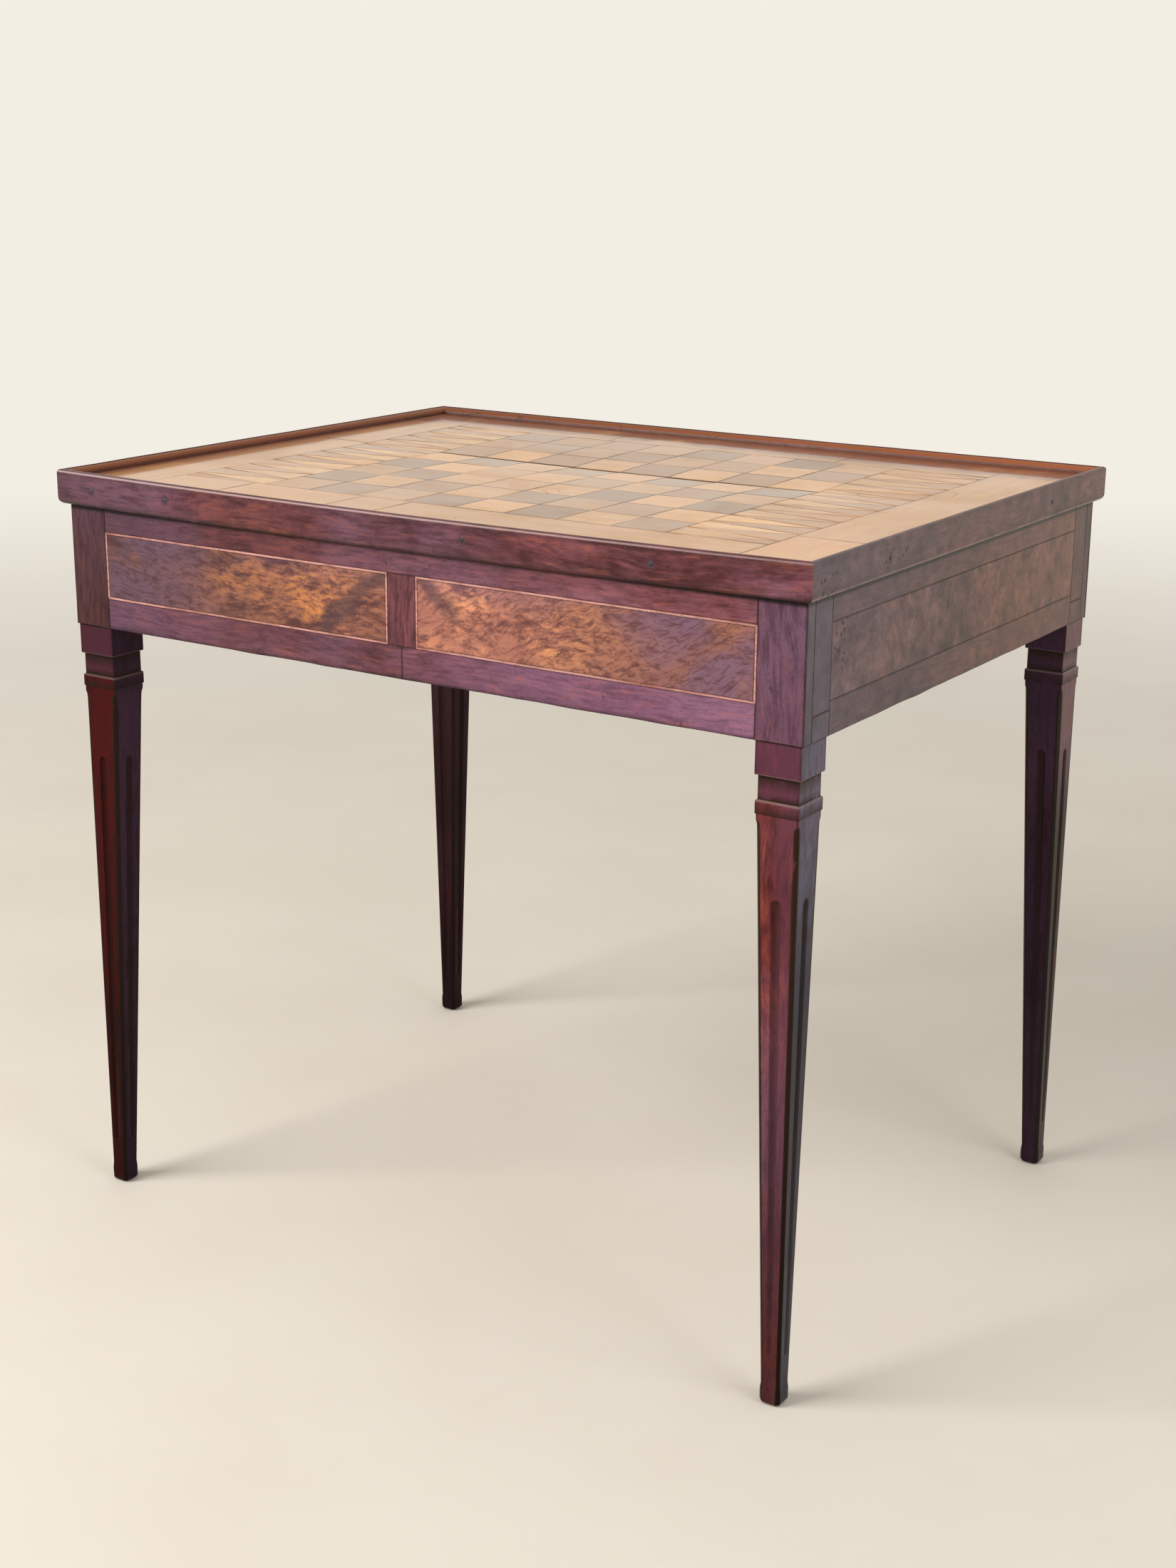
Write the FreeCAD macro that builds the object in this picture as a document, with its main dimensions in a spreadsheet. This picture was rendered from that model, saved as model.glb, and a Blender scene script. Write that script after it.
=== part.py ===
import FreeCAD, Part
import math
import operator
import os
import Sketcher

# Driving sizes of the table in millimetres
SIZES = {
    # whole table
    "table_length": 808,
    "table_width": 610,
    "table_height": 740,
    # tray top: rim moulding
    "rim_height": 33,
    "rim_width": 19,
    "rim_overhang": 8,
    "rim_upper_round": 3.5,
    "rim_lower_round": 6,
    "rim_flat": 12,
    "rim_fillet": 1,
    "ovolo_radius": 5,
    # tray top: boards, groove, veneer and cloth
    "tray_depth": 8,
    "cloth_recess": 8,
    "veneer_thickness": 1.5,
    "cloth_thickness": 1,
    "groove_depth": 6,
    "groove_height": 7,
    "groove_clearance": 0.5,
    "shrinkage_gap": 0.8,
    # tray top: inlaid playing surface
    "long_border_width": 66,
    "end_border_width": 67,
    "inlay_joint": 0.2,
    # tray top: nails through the rim
    "nail_head_width": 5,
    "nail_head_thickness": 0.8,
    "nail_shank_side": 2.4,
    "nail_length": 32,
    # case: aprons and their joints
    "apron_depth": 117,
    "apron_thickness": 20,
    "tenon_length": 25,
    "tenon_thickness": 8,
    "tenon_shoulder": 12,
    "peg_width": 6,
    "peg_length": 26,
    "peg_set_back": 12,
    "peg_clearance": 0.1,
    "lip_height": 6,
    "lip_clearance": 0.5,
    # case: veneered fields
    "panel_height": 64,
    "bottom_rail_height": 29.5,
    "mullion_width": 31,
    "string_width": 1.8,
    # case: floor of the well
    "ledger_side": 15,
    "ledger_rise": 4,
    "floor_thickness": 10,
    "floor_clearance": 1,
    "floor_joint": 0.6,
    # legs
    "post_width": 42,
    "block_height": 28.6,
    "neck_inset": 2.25,
    "neck_height": 20.7,
    "band_inset": 0.7,
    "band_height": 11.9,
    "shaft_inset": 1.5,
    "shaft_bottom_width": 18.5,
    "chamfer_drop": 7,
    "chamfer_width": 2.2,
    "flute_head_drop": 70,
    "flute_tail_rise": 47,
    "flute_radius": 5,
    "flute_head_depth": 3.2,
    "flute_tail_depth": 0.7,
    "foot_height": 19,
    "foot_flare": 4,
    "foot_swell": 0.8,
    "foot_round": 4,
}

# Counts, and places given as shares of the size that they follow
SQUARES_PER_SIDE = 8
POINTS_PER_END = 12
ROWS_ON_BACK_BOARD = 3
PEG_SIDES = 8
RIGHT_ANGLE = 90
DIAGONAL_ANGLE = 45
DIAGONAL_SHARE = math.sqrt(0.5)
CORNER_RADIUS_SHARE = 0.5 / math.cos(math.pi / PEG_SIDES)
LONG_RIM_NAIL_SHARES = (-0.446, -0.33, 0.089, 0.32)
END_RIM_NAIL_SHARES = (-0.28, 0.28)
PEG_HEIGHT_SHARES = (0.25, 0.75)

doc = FreeCAD.newDocument("games_table")
sheet = doc.addObject("Spreadsheet::Sheet", "sizes")


class Size:
    """A length with its value and the sheet formula that gives the same value."""

    def __init__(self, value, formula):
        self.value = value
        self.formula = formula

    def joined(self, sign, work, other, swapped=False):
        other = other if isinstance(other, Size) else Size(other, str(other))
        first, second = (other, self) if swapped else (self, other)
        return Size(work(first.value, second.value), f"({first.formula} {sign} {second.formula})")

    def __add__(self, other):
        return self.joined("+", operator.add, other)

    def __sub__(self, other):
        return self.joined("-", operator.sub, other)

    def __rsub__(self, other):
        return self.joined("-", operator.sub, other, swapped=True)

    def __mul__(self, other):
        return self.joined("*", operator.mul, other)

    def __rmul__(self, other):
        return self.joined("*", operator.mul, other, swapped=True)

    def __truediv__(self, other):
        return self.joined("/", operator.truediv, other)

    def __neg__(self):
        return self * -1


class Sizes:
    """The sheet's cells as attributes, each a Size."""

    def __init__(self, values):
        for row, (alias, value) in enumerate(values.items(), start=1):
            sheet.set(f"A{row}", alias)
            sheet.set(f"B{row}", str(value))
            sheet.setAlias(f"B{row}", alias)
            setattr(self, alias, Size(value, f"{sheet.Name}.{alias}"))
        doc.recompute()


s = Sizes(SIZES)
ZERO = Size(0, "0")

# Levels above the floor
rim_bottom = s.table_height - s.rim_height
case_top = rim_bottom
case_bottom = case_top - s.apron_depth
block_bottom = case_bottom - s.block_height
neck_bottom = block_bottom - s.neck_height
band_bottom = neck_bottom - s.band_height
lip_top = case_top + s.lip_height
panel_bottom = case_bottom + s.bottom_rail_height
panel_top = panel_bottom + s.panel_height
ledger_bottom = case_bottom + s.ledger_rise
floor_bottom = ledger_bottom + s.ledger_side
floor_top = floor_bottom + s.floor_thickness
playing_surface = s.table_height - s.tray_depth
board_top = playing_surface - s.veneer_thickness
cloth_bottom = rim_bottom + s.cloth_recess - s.cloth_thickness
board_bottom = cloth_bottom + s.cloth_thickness
groove_middle = (board_top + board_bottom) / 2

# Half sizes measured from the middle of the table
rim_x = s.table_length / 2
rim_y = s.table_width / 2
case_x = rim_x - s.rim_overhang
case_y = rim_y - s.rim_overhang
core_x = case_x - s.veneer_thickness
core_y = case_y - s.veneer_thickness
post_x = core_x - s.post_width
post_y = core_y - s.post_width
well_x = core_x - s.apron_thickness
well_y = core_y - s.apron_thickness
tray_x = rim_x - s.rim_width
tray_y = rim_y - s.rim_width
lip_x = tray_x - s.lip_clearance
lip_y = tray_y - s.lip_clearance
board_half = tray_y - s.long_border_width
square_side = 2 * board_half / SQUARES_PER_SIDE
points_x = tray_x - s.end_border_width
gap_y = board_half - ROWS_ON_BACK_BOARD * square_side


def bind(item, property_name, size):
    """Tie a property of an object to the sheet."""
    item.setExpression(property_name, size.formula)


def place(item, x, y, z):
    """Tie an object's position to the sheet."""
    for axis, size in zip("xyz", (x, y, z)):
        bind(item, "Placement.Base." + axis, size)


def box(name, x, y, z):
    """A block between the low and high size given for each axis."""
    item = doc.addObject("Part::Box", name)
    for side, (low, high) in zip(("Length", "Width", "Height"), (x, y, z)):
        bind(item, side, high - low)
    place(item, x[0], y[0], z[0])
    return item


TURN = {
    "+X": FreeCAD.Rotation(FreeCAD.Vector(0, 1, 0), 90),
    "+Y": FreeCAD.Rotation(FreeCAD.Vector(1, 0, 0), -90),
    "-X": FreeCAD.Rotation(FreeCAD.Vector(0, 1, 0), -90),
}


def shaved_rod(name, width, length, start, towards):
    """An eight-sided rod, as wide as given across its flats, that runs from a start point along one axis."""
    item = doc.addObject("Part::Prism", name)
    item.Polygon = PEG_SIDES
    bind(item, "Circumradius", CORNER_RADIUS_SHARE * width)
    bind(item, "Height", length)
    item.Placement.Rotation = TURN[towards]
    place(item, *start)
    return item


PLANES = {
    "XY": FreeCAD.Rotation(),
    "XZ": FreeCAD.Rotation(FreeCAD.Vector(1, 0, 0), 90),
    "YZ": FreeCAD.Rotation(FreeCAD.Vector(1, 1, 1), 120),
}


def sketch_on(plane, name, offset=ZERO):
    """An empty sketch on a main plane, moved along that plane's missing axis."""
    sketch = doc.addObject("Sketcher::SketchObject", name)
    sketch.Placement.Rotation = PLANES[plane]
    missing_axis = (set("XYZ") - set(plane)).pop().lower()
    bind(sketch, "Placement.Base." + missing_axis, offset)
    return sketch


def fix_point(sketch, geometry, position, point):
    """Hold one point of a sketch at two sizes from the sketch's origin."""
    for kind, size in zip(("DistanceX", "DistanceY"), point):
        index = sketch.addConstraint(Sketcher.Constraint(kind, -1, 1, geometry, position, size.value))
        bind(sketch, f"Constraints[{index}]", size)


def vector(point):
    return FreeCAD.Vector(point[0].value, point[1].value, 0)


def add_outline(sketch, corners, arcs=None):
    """Draw a closed outline; arcs gives, by the corner that an arc ends at, its centre and radius."""
    arcs = arcs or {}
    for index, corner in enumerate(corners):
        start, end = corners[index - 1], corner
        if index in arcs:
            centre, radius = arcs[index]
            geometry, reverse = arc_between(start, end, centre, radius)
            number = sketch.addGeometry(geometry)
            turn = sketch.addConstraint(Sketcher.Constraint("Radius", number, radius.value))
            bind(sketch, f"Constraints[{turn}]", radius)
            ends = (2, 1) if reverse else (1, 2)
        else:
            number = sketch.addGeometry(Part.LineSegment(vector(start), vector(end)))
            ends = (1, 2)
        fix_point(sketch, number, ends[1], corner)
        if index:
            sketch.addConstraint(Sketcher.Constraint("Coincident", number, ends[0], *previous))
        else:
            opening = (number, ends[0])
        previous = (number, ends[1])
    sketch.addConstraint(Sketcher.Constraint("Coincident", *opening, *previous))


def arc_between(start, end, centre, radius):
    """The short arc from start to end, and whether it runs clockwise."""
    middle, a, b = vector(centre), vector(start), vector(end)
    angles = [math.atan2(p.y - middle.y, p.x - middle.x) for p in (a, b)]
    clockwise = (angles[1] - angles[0]) % (2 * math.pi) > math.pi
    low, high = reversed(angles) if clockwise else angles
    circle = Part.Circle(middle, FreeCAD.Vector(0, 0, 1), radius.value)
    return Part.ArcOfCircle(circle, low, high), clockwise


def outline(name, plane, corners, arcs=None, offset=ZERO):
    sketch = sketch_on(plane, name, offset)
    add_outline(sketch, corners, arcs)
    return sketch


def extrude(name, sketch, length, both_ways=False):
    """A solid drawn out from a sketch along its normal."""
    item = doc.addObject("Part::Extrusion", name)
    item.Base = sketch
    item.DirMode = "Normal"
    item.Solid = True
    item.Symmetric = both_ways
    bind(item, "LengthFwd", length)
    return item


def fuse(name, items):
    item = doc.addObject("Part::MultiFuse", name)
    item.Shapes = items
    item.Refine = True
    return item


def group(name, items):
    """Separate solids kept together as one piece of the list."""
    item = doc.addObject("Part::Compound", name)
    item.Links = items
    return item


def cut(name, base, tool):
    item = doc.addObject("Part::Cut", name)
    item.Base = base
    item.Tool = tool
    item.Refine = True
    return item


def common(name, first, second):
    item = doc.addObject("Part::Common", name)
    item.Base = first
    item.Tool = second
    item.Refine = True
    return item


ACROSS = {"X": FreeCAD.Vector(1, 0, 0), "Y": FreeCAD.Vector(0, 1, 0)}


def mirror(name, source, axis):
    """The same piece on the other side of the table's middle plane."""
    item = doc.addObject("Part::Mirroring", name)
    item.Source = source
    item.Normal = ACROSS[axis]
    return item


def four_corners(name, items):
    """Pieces at the front right corner, repeated at all four corners."""
    right = group(name + "_front_right", items)
    left = mirror(name + "_front_left", right, "X")
    front = group(name + "_front", [right, left])
    back = mirror(name + "_back", front, "Y")
    return group(name, [front, back])


# Riven pegs that lock the tenons, and the holes that they fill
tenon_bottom = case_bottom + s.tenon_shoulder
tenon_top = case_top - s.tenon_shoulder
tenon_height = tenon_top - tenon_bottom
hole_width = s.peg_width + 2 * s.peg_clearance


def corner_rods(name, width):
    """Two rods through each tenon at the front right corner."""
    rods = []
    for number, share in enumerate(PEG_HEIGHT_SHARES):
        level = tenon_bottom + share * tenon_height
        front = (post_x + s.peg_set_back, -core_y, level)
        side = (core_x - s.peg_length, -post_y - s.peg_set_back, level)
        rods.append(shaved_rod(f"{name}_front_{number}", width, s.peg_length, front, "+Y"))
        rods.append(shaved_rod(f"{name}_side_{number}", width, s.peg_length, side, "+X"))
    return rods


tenon_pegs = four_corners("tenon_pegs", corner_rods("peg", s.peg_width))
peg_holes = four_corners("peg_holes", corner_rods("peg_hole", hole_width))

# Apron boards: tenoned into the posts, with a lip on top that the tray drops over
tenon_out = (s.apron_thickness + s.tenon_thickness) / 2
tenon_in = (s.apron_thickness - s.tenon_thickness) / 2


def long_apron():
    """The front apron."""
    core = box("front_core", (-post_x, post_x), (-core_y, -well_y), (case_bottom, case_top))
    lip = box("front_lip", (-post_x, post_x), (-lip_y, -well_y), (case_top, lip_top))
    reach = post_x + s.tenon_length
    thickness = (-core_y + tenon_in, -core_y + tenon_out)
    tenon = box("front_tenon", (-reach, reach), thickness, (tenon_bottom, tenon_top))
    return cut("apron_front", fuse("front_board", [core, lip, tenon]), peg_holes), tenon


def end_apron():
    """The right end apron."""
    core = box("right_core", (well_x, core_x), (-post_y, post_y), (case_bottom, case_top))
    lip = box("right_lip", (well_x, lip_x), (-post_y, post_y), (case_top, lip_top))
    reach = post_y + s.tenon_length
    thickness = (core_x - tenon_out, core_x - tenon_in)
    tenon = box("right_tenon", thickness, (-reach, reach), (tenon_bottom, tenon_top))
    return cut("apron_right", fuse("right_board", [core, lip, tenon]), peg_holes), tenon


apron_front, front_tenon = long_apron()
apron_right, right_tenon = end_apron()
apron_back = mirror("apron_back", apron_front, "Y")
apron_left = mirror("apron_left", apron_right, "X")

# Legs: outer faces upright, inner faces tapered, one stopped flute on every face
shaft_top_width = s.post_width - 2 * s.shaft_inset
shaft_height = band_bottom - s.foot_height
chamfer_start = band_bottom - s.chamfer_drop
foot_inset = s.shaft_inset - s.foot_swell
foot_width = s.shaft_bottom_width + 2 * s.foot_swell
foot_top = s.foot_height - s.foot_flare


def shaft_width(level):
    """The width of the tapered shaft at a level."""
    taper = (shaft_top_width - s.shaft_bottom_width) / shaft_height
    return shaft_top_width - taper * (band_bottom - level)


def leg_profile(name, plane, face, inward):
    """One side view of the leg from its outer face: post, neck, band, shaft and rounded foot."""
    def at(depth, level):
        return (face + inward * depth, level)

    post, turn = s.post_width, s.foot_round
    foot_in = foot_inset + foot_width
    corners = [
        at(ZERO, case_top), at(ZERO, block_bottom),
        at(s.neck_inset, block_bottom), at(s.neck_inset, neck_bottom),
        at(s.band_inset, neck_bottom), at(s.band_inset, band_bottom),
        at(s.shaft_inset, band_bottom), at(s.shaft_inset, s.foot_height),
        at(foot_inset, foot_top), at(foot_inset, turn), at(foot_inset + turn, ZERO),
        at(foot_in - turn, ZERO), at(foot_in, turn), at(foot_in, foot_top),
        at(s.shaft_inset + s.shaft_bottom_width, s.foot_height),
        at(s.shaft_inset + shaft_top_width, band_bottom),
        at(post - s.band_inset, band_bottom), at(post - s.band_inset, neck_bottom),
        at(post - s.neck_inset, neck_bottom), at(post - s.neck_inset, block_bottom),
        at(post, block_bottom), at(post, case_top),
    ]
    arcs = {
        10: (at(foot_inset + turn, turn), turn),
        12: (at(foot_in - turn, turn), turn),
    }
    return outline(name, plane, corners, arcs)


def corner_view(name, angle, outer_depth, inner_depth):
    """The leg seen along a diagonal, narrowed below the chamfer's start to take two arrises off."""
    wide = 2 * s.post_width
    levels = [(chamfer_start, s.shaft_inset, shaft_width(chamfer_start)),
              (s.foot_height, s.shaft_inset, s.shaft_bottom_width),
              (foot_top, foot_inset, foot_width),
              (ZERO, foot_inset, foot_width)]
    outer = [(outer_depth(inset, width), level) for level, inset, width in levels]
    inner = [(inner_depth(inset, width), level) for level, inset, width in reversed(levels)]
    head = [(-wide, chamfer_start), (-wide, case_top), (wide, case_top), (wide, chamfer_start)]
    sketch = outline(name + "_outline", "XZ", head + outer + inner)
    sketch.Placement.Rotation = FreeCAD.Rotation(FreeCAD.Vector(0, 0, 1), angle) * PLANES["XZ"]
    place(sketch, core_x, -core_y, ZERO)
    return extrude(name, sketch, 2 * wide, both_ways=True)


def leg_blank():
    """Both side views drawn through each other, then both corner views."""
    front_outline = leg_profile("leg_front_outline", "XZ", core_x, -1)
    side_outline = leg_profile("leg_side_outline", "YZ", -core_y, 1)
    front = extrude("leg_front_view", front_outline, 2 * core_y, both_ways=True)
    side = extrude("leg_side_view", side_outline, 2 * core_x, both_ways=True)
    c = s.chamfer_width
    along = corner_view(
        "leg_along_view", -DIAGONAL_ANGLE,
        lambda inset, width: -DIAGONAL_SHARE * (2 * inset + c),
        lambda inset, width: -DIAGONAL_SHARE * (2 * (inset + width) - c))
    across = corner_view(
        "leg_across_view", DIAGONAL_ANGLE,
        lambda inset, width: DIAGONAL_SHARE * (width - c),
        lambda inset, width: -DIAGONAL_SHARE * (width - c))
    square = common("square_leg", front, side)
    return common("chamfered_leg", common("half_chamfered_leg", square, along), across)


def flute_axis_points(level, depth):
    """Where each flute's axis stands at a level: front, right, back and left face, in that order."""
    width, rise = shaft_width(level), s.flute_radius - depth
    x_out, y_out = core_x - s.shaft_inset, -core_y + s.shaft_inset
    x_mid, y_mid = x_out - width / 2, y_out + width / 2
    x_in, y_in = x_out - width, y_out + width
    return [(x_mid, y_out - rise), (x_out + rise, y_mid), (x_mid, y_in + rise), (x_in - rise, y_mid)]


def flute_hollow(name, tail, head, seam_angle):
    """A round-ended hollow turned about its own axis, which leans from tail to head."""
    radius, length = s.flute_radius, head[2] - tail[2]
    sketch = outline(
        name + "_outline", "XZ",
        [(ZERO, -radius), (radius, ZERO), (radius, length), (ZERO, length + radius)],
        {1: ((ZERO, ZERO), radius), 3: ((ZERO, length), radius)})
    item = doc.addObject("Part::Revolution", name)
    item.Source = sketch
    item.Axis = FreeCAD.Vector(0, 0, 1)
    item.Solid = True
    lean = FreeCAD.Vector(*(high.value - low.value for low, high in zip(tail, head)))
    upright = FreeCAD.Vector(0, 0, 1)
    item.Placement.Rotation = FreeCAD.Rotation(upright, lean) * FreeCAD.Rotation(upright, seam_angle)
    place(item, *tail)
    return item


def leg_flutes():
    """Hollows that grow shallower and narrower towards the foot, each with its seam outside its face."""
    head_level = band_bottom - s.flute_head_drop - s.flute_radius
    tail_level = s.flute_tail_rise + s.flute_radius
    heads = flute_axis_points(head_level, s.flute_head_depth)
    tails = flute_axis_points(tail_level, s.flute_tail_depth)
    hollows = []
    for number, (tail, head) in enumerate(zip(tails, heads)):
        seam_angle = RIGHT_ANGLE * (number - 1)
        hollow = flute_hollow(f"flute_{number}", (*tail, tail_level), (*head, head_level), seam_angle)
        hollows.append(hollow)
    return group("flutes", hollows)


def front_right_leg():
    lip = box("post_lip", (post_x, lip_x), (-lip_y, -post_y), (case_top, lip_top))
    fluted = cut("fluted_leg", fuse("leg_with_lip", [leg_blank(), lip]), leg_flutes())
    mortised = cut("mortised_leg", fluted, group("corner_tenons", [front_tenon, right_tenon]))
    return cut("leg_front_right", mortised, peg_holes)


leg_front_right = front_right_leg()
leg_front_left = mirror("leg_front_left", leg_front_right, "X")
leg_back_right = mirror("leg_back_right", leg_front_right, "Y")
leg_back_left = mirror("leg_back_left", leg_front_left, "Y")

# Veneers on the front and the right end; the back and the left end repeat them
front_skin = (-case_y, -core_y)
right_skin = (core_x, case_x)


def stile_veneers():
    """Upright veneers on the two outer faces of the front right post."""
    front = box("front_stile", (post_x, case_x), front_skin, (case_bottom, case_top))
    side = box("side_stile", right_skin, (-core_y, -post_y), (case_bottom, case_top))
    return group("stile_veneers_front_right", [front, side])


def string_frame(name, x, z):
    """Four mitred strips of stringing round one front field."""
    (x0, x1), (z0, z1), w = x, z, s.string_width
    outer = [(x0, z0), (x1, z0), (x1, z1), (x0, z1)]
    inner = [(x0 + w, z0 + w), (x1 - w, z0 + w), (x1 - w, z1 - w), (x0 + w, z1 - w)]
    strips = []
    for side in range(4):
        corners = [outer[side - 1], outer[side], inner[side], inner[side - 1]]
        sketch = outline(f"{name}_{side}_outline", "XZ", corners, offset=-core_y)
        strips.append(extrude(f"{name}_{side}", sketch, s.veneer_thickness))
    return strips


def front_veneers():
    """Rails, mullion, two figured panels and their stringing."""
    half_mullion = s.mullion_width / 2
    field_z = (panel_bottom, panel_top)
    right_field = (half_mullion, post_x)
    left_field = (-post_x, -half_mullion)
    w = s.string_width
    panel_z = (panel_bottom + w, panel_top - w)
    bottom_z = (case_bottom, panel_bottom)
    pieces = {
        "top_rail": box("front_top_rail", (-post_x, post_x), front_skin, (panel_top, case_top)),
        "bottom_rail_left": box("front_bottom_rail_left", (-post_x, ZERO), front_skin, bottom_z),
        "bottom_rail_right": box("front_bottom_rail_right", (ZERO, post_x), front_skin, bottom_z),
        "mullion": box("front_mullion", (-half_mullion, half_mullion), front_skin, field_z),
    }
    strips = []
    for side, (low, high) in (("left", left_field), ("right", right_field)):
        pieces[f"panel_{side}"] = box(f"front_panel_{side}", (low + w, high - w), front_skin, panel_z)
        strips += string_frame(f"front_string_{side}", (low, high), field_z)
    pieces["stringing"] = group("front_stringing", strips)
    return pieces


def right_veneers():
    """Rails and one plain panel on the end."""
    span = (-post_y, post_y)
    return {
        "top_rail": box("right_top_rail", right_skin, span, (panel_top, case_top)),
        "bottom_rail": box("right_bottom_rail", right_skin, span, (case_bottom, panel_bottom)),
        "panel": box("right_panel", right_skin, span, (panel_bottom, panel_top)),
    }


stiles_front_right = stile_veneers()
stiles_front_left = mirror("stile_veneers_front_left", stiles_front_right, "X")
stiles_back_right = mirror("stile_veneers_back_right", stiles_front_right, "Y")
stiles_back_left = mirror("stile_veneers_back_left", stiles_front_left, "Y")
front_set = front_veneers()
back_set = [mirror(f"back_{name}", piece, "Y") for name, piece in front_set.items()]
right_set = right_veneers()
left_set = [mirror(f"left_{name}", piece, "X") for name, piece in right_set.items()]

# Floor of the well: two boards on ledger strips, notched round the posts
ledger_x = well_x - s.ledger_side
ledger_y = well_y - s.ledger_side
ledger_front = box("ledger_front", (-post_x, post_x), (-well_y, -ledger_y), (ledger_bottom, floor_bottom))
ledger_right = box("ledger_right", (ledger_x, well_x), (-post_y, post_y), (ledger_bottom, floor_bottom))
ledger_back = mirror("ledger_back", ledger_front, "Y")
ledger_left = mirror("ledger_left", ledger_right, "X")


def front_floor_board():
    clear = s.floor_clearance
    edge_x, edge_y = well_x - clear, well_y - clear
    level = (floor_bottom, floor_top)
    board = box("floor_blank", (-edge_x, edge_x), (-edge_y, -s.floor_joint / 2), level)
    notch = box("floor_notch_right", (post_x - clear, core_x), (-core_y, -post_y + clear), level)
    notches = group("floor_notches", [notch, mirror("floor_notch_left", notch, "X")])
    return cut("floor_board_front", board, notches)


floor_board_front = front_floor_board()
floor_board_back = mirror("floor_board_back", floor_board_front, "Y")


# Tray top: nails, grooved rim mouldings with mitred corners, and two boards tongued into the rim
def rim_nail(name, start, towards):
    """A forged nail with a flat eight-sided head and a square shank, driven flush into the rim."""
    head = shaved_rod(name + "_head", s.nail_head_width, s.nail_head_thickness, start, towards)
    (x, y, z), half = start, s.nail_shank_side / 2
    spans = {
        "+Y": ((x - half, x + half), (y, y + s.nail_length)),
        "-X": ((x - s.nail_length, x), (y - half, y + half)),
    }
    shank = box(name + "_shank", *spans[towards], (z - half, z + half))
    return fuse(name, [head, shank])


front_nails = []
for number, share in enumerate(LONG_RIM_NAIL_SHARES):
    start = (share * s.table_length, -rim_y, groove_middle)
    front_nails.append(rim_nail(f"front_nail_{number}", start, "+Y"))
right_nails = []
for number, share in enumerate(END_RIM_NAIL_SHARES):
    start = (rim_x, share * s.table_width, groove_middle)
    right_nails.append(rim_nail(f"right_nail_{number}", start, "-X"))
front_nail_row = group("front_nail_row", front_nails)
right_nail_row = group("right_nail_row", right_nails)
back_nail_row = mirror("back_nail_row", front_nail_row, "Y")
left_nail_row = mirror("left_nail_row", right_nail_row, "X")
rim_nails = group("rim_nails", [front_nail_row, right_nail_row, back_nail_row, left_nail_row])

groove_low = groove_middle - s.groove_height / 2
groove_high = groove_middle + s.groove_height / 2


def rim_profile(name, plane, face, inward):
    """Section of the rim: rounded outer arrises, an inner ovolo with its fillets, and the groove."""
    def at(depth, level):
        return (face + inward * depth, level)

    top, bottom = s.table_height, rim_bottom
    upper, lower = s.rim_upper_round, s.rim_lower_round
    ovolo_top = top - s.rim_fillet
    ovolo_foot = ovolo_top - s.ovolo_radius
    groove_back = s.rim_width - s.groove_depth
    corners = [
        at(lower, bottom), at(ZERO, bottom + lower), at(ZERO, top - upper), at(upper, top),
        at(s.rim_flat, top), at(s.rim_flat, ovolo_top), at(s.rim_flat + s.ovolo_radius, ovolo_foot),
        at(s.rim_width, ovolo_foot), at(s.rim_width, groove_high), at(groove_back, groove_high),
        at(groove_back, groove_low), at(s.rim_width, groove_low), at(s.rim_width, bottom),
    ]
    arcs = {
        1: (at(lower, bottom + lower), lower),
        3: (at(upper, top - upper), upper),
        6: (at(s.rim_flat, ovolo_foot), s.ovolo_radius),
    }
    return outline(name, plane, corners, arcs)


def mitred(name, profile, length, plan_corners, nails):
    """A run of the rim moulding cut to its mitred plan and drilled for its nails."""
    run = extrude(name + "_run", profile, length, both_ways=True)
    plan = outline(name + "_plan", "XY", plan_corners, offset=rim_bottom)
    block = extrude(name + "_block", plan, s.rim_height)
    return cut(name, common(name + "_mitred", run, block), nails)


rim_front = mitred(
    "rim_front", rim_profile("front_profile", "YZ", -rim_y, 1), s.table_length,
    [(-rim_x, -rim_y), (rim_x, -rim_y), (tray_x, -tray_y), (-tray_x, -tray_y)], front_nail_row)
rim_right = mitred(
    "rim_right", rim_profile("right_profile", "XZ", rim_x, -1), s.table_width,
    [(rim_x, -rim_y), (rim_x, rim_y), (tray_x, tray_y), (tray_x, -tray_y)], right_nail_row)
rim_back = mirror("rim_back", rim_front, "Y")
rim_left = mirror("rim_left", rim_right, "X")


def top_board(name, front_edge, back_edge, front_tongue, back_tongue):
    """A lengthwise board of the top, with tongues that enter the rim's groove."""
    tongue_x = tray_x + s.groove_depth - s.groove_clearance
    body = box(name + "_body", (-tray_x, tray_x), (front_edge, back_edge), (board_bottom, board_top))
    tongue_y_span = (front_tongue, back_tongue)
    tongue = box(name + "_tongue", (-tongue_x, tongue_x), tongue_y_span, (groove_low, groove_high))
    return cut(name, fuse(name + "_blank", [body, tongue]), rim_nails)


tongue_y = tray_y + s.groove_depth - s.groove_clearance
gap_front = gap_y - s.shrinkage_gap / 2
gap_back = gap_y + s.shrinkage_gap / 2
top_board_front = top_board("top_board_front", -tray_y, gap_front, -tongue_y, gap_front)
top_board_back = top_board("top_board_back", gap_back, tray_y, gap_back, tongue_y)
underside_cloth = box("underside_cloth", (-tray_x, tray_x), (-tray_y, tray_y), (cloth_bottom, board_bottom))

# Inlaid playing surface: chequered squares, twelve points at each end, and a border
inlay_level = (board_top, playing_surface)


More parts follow.
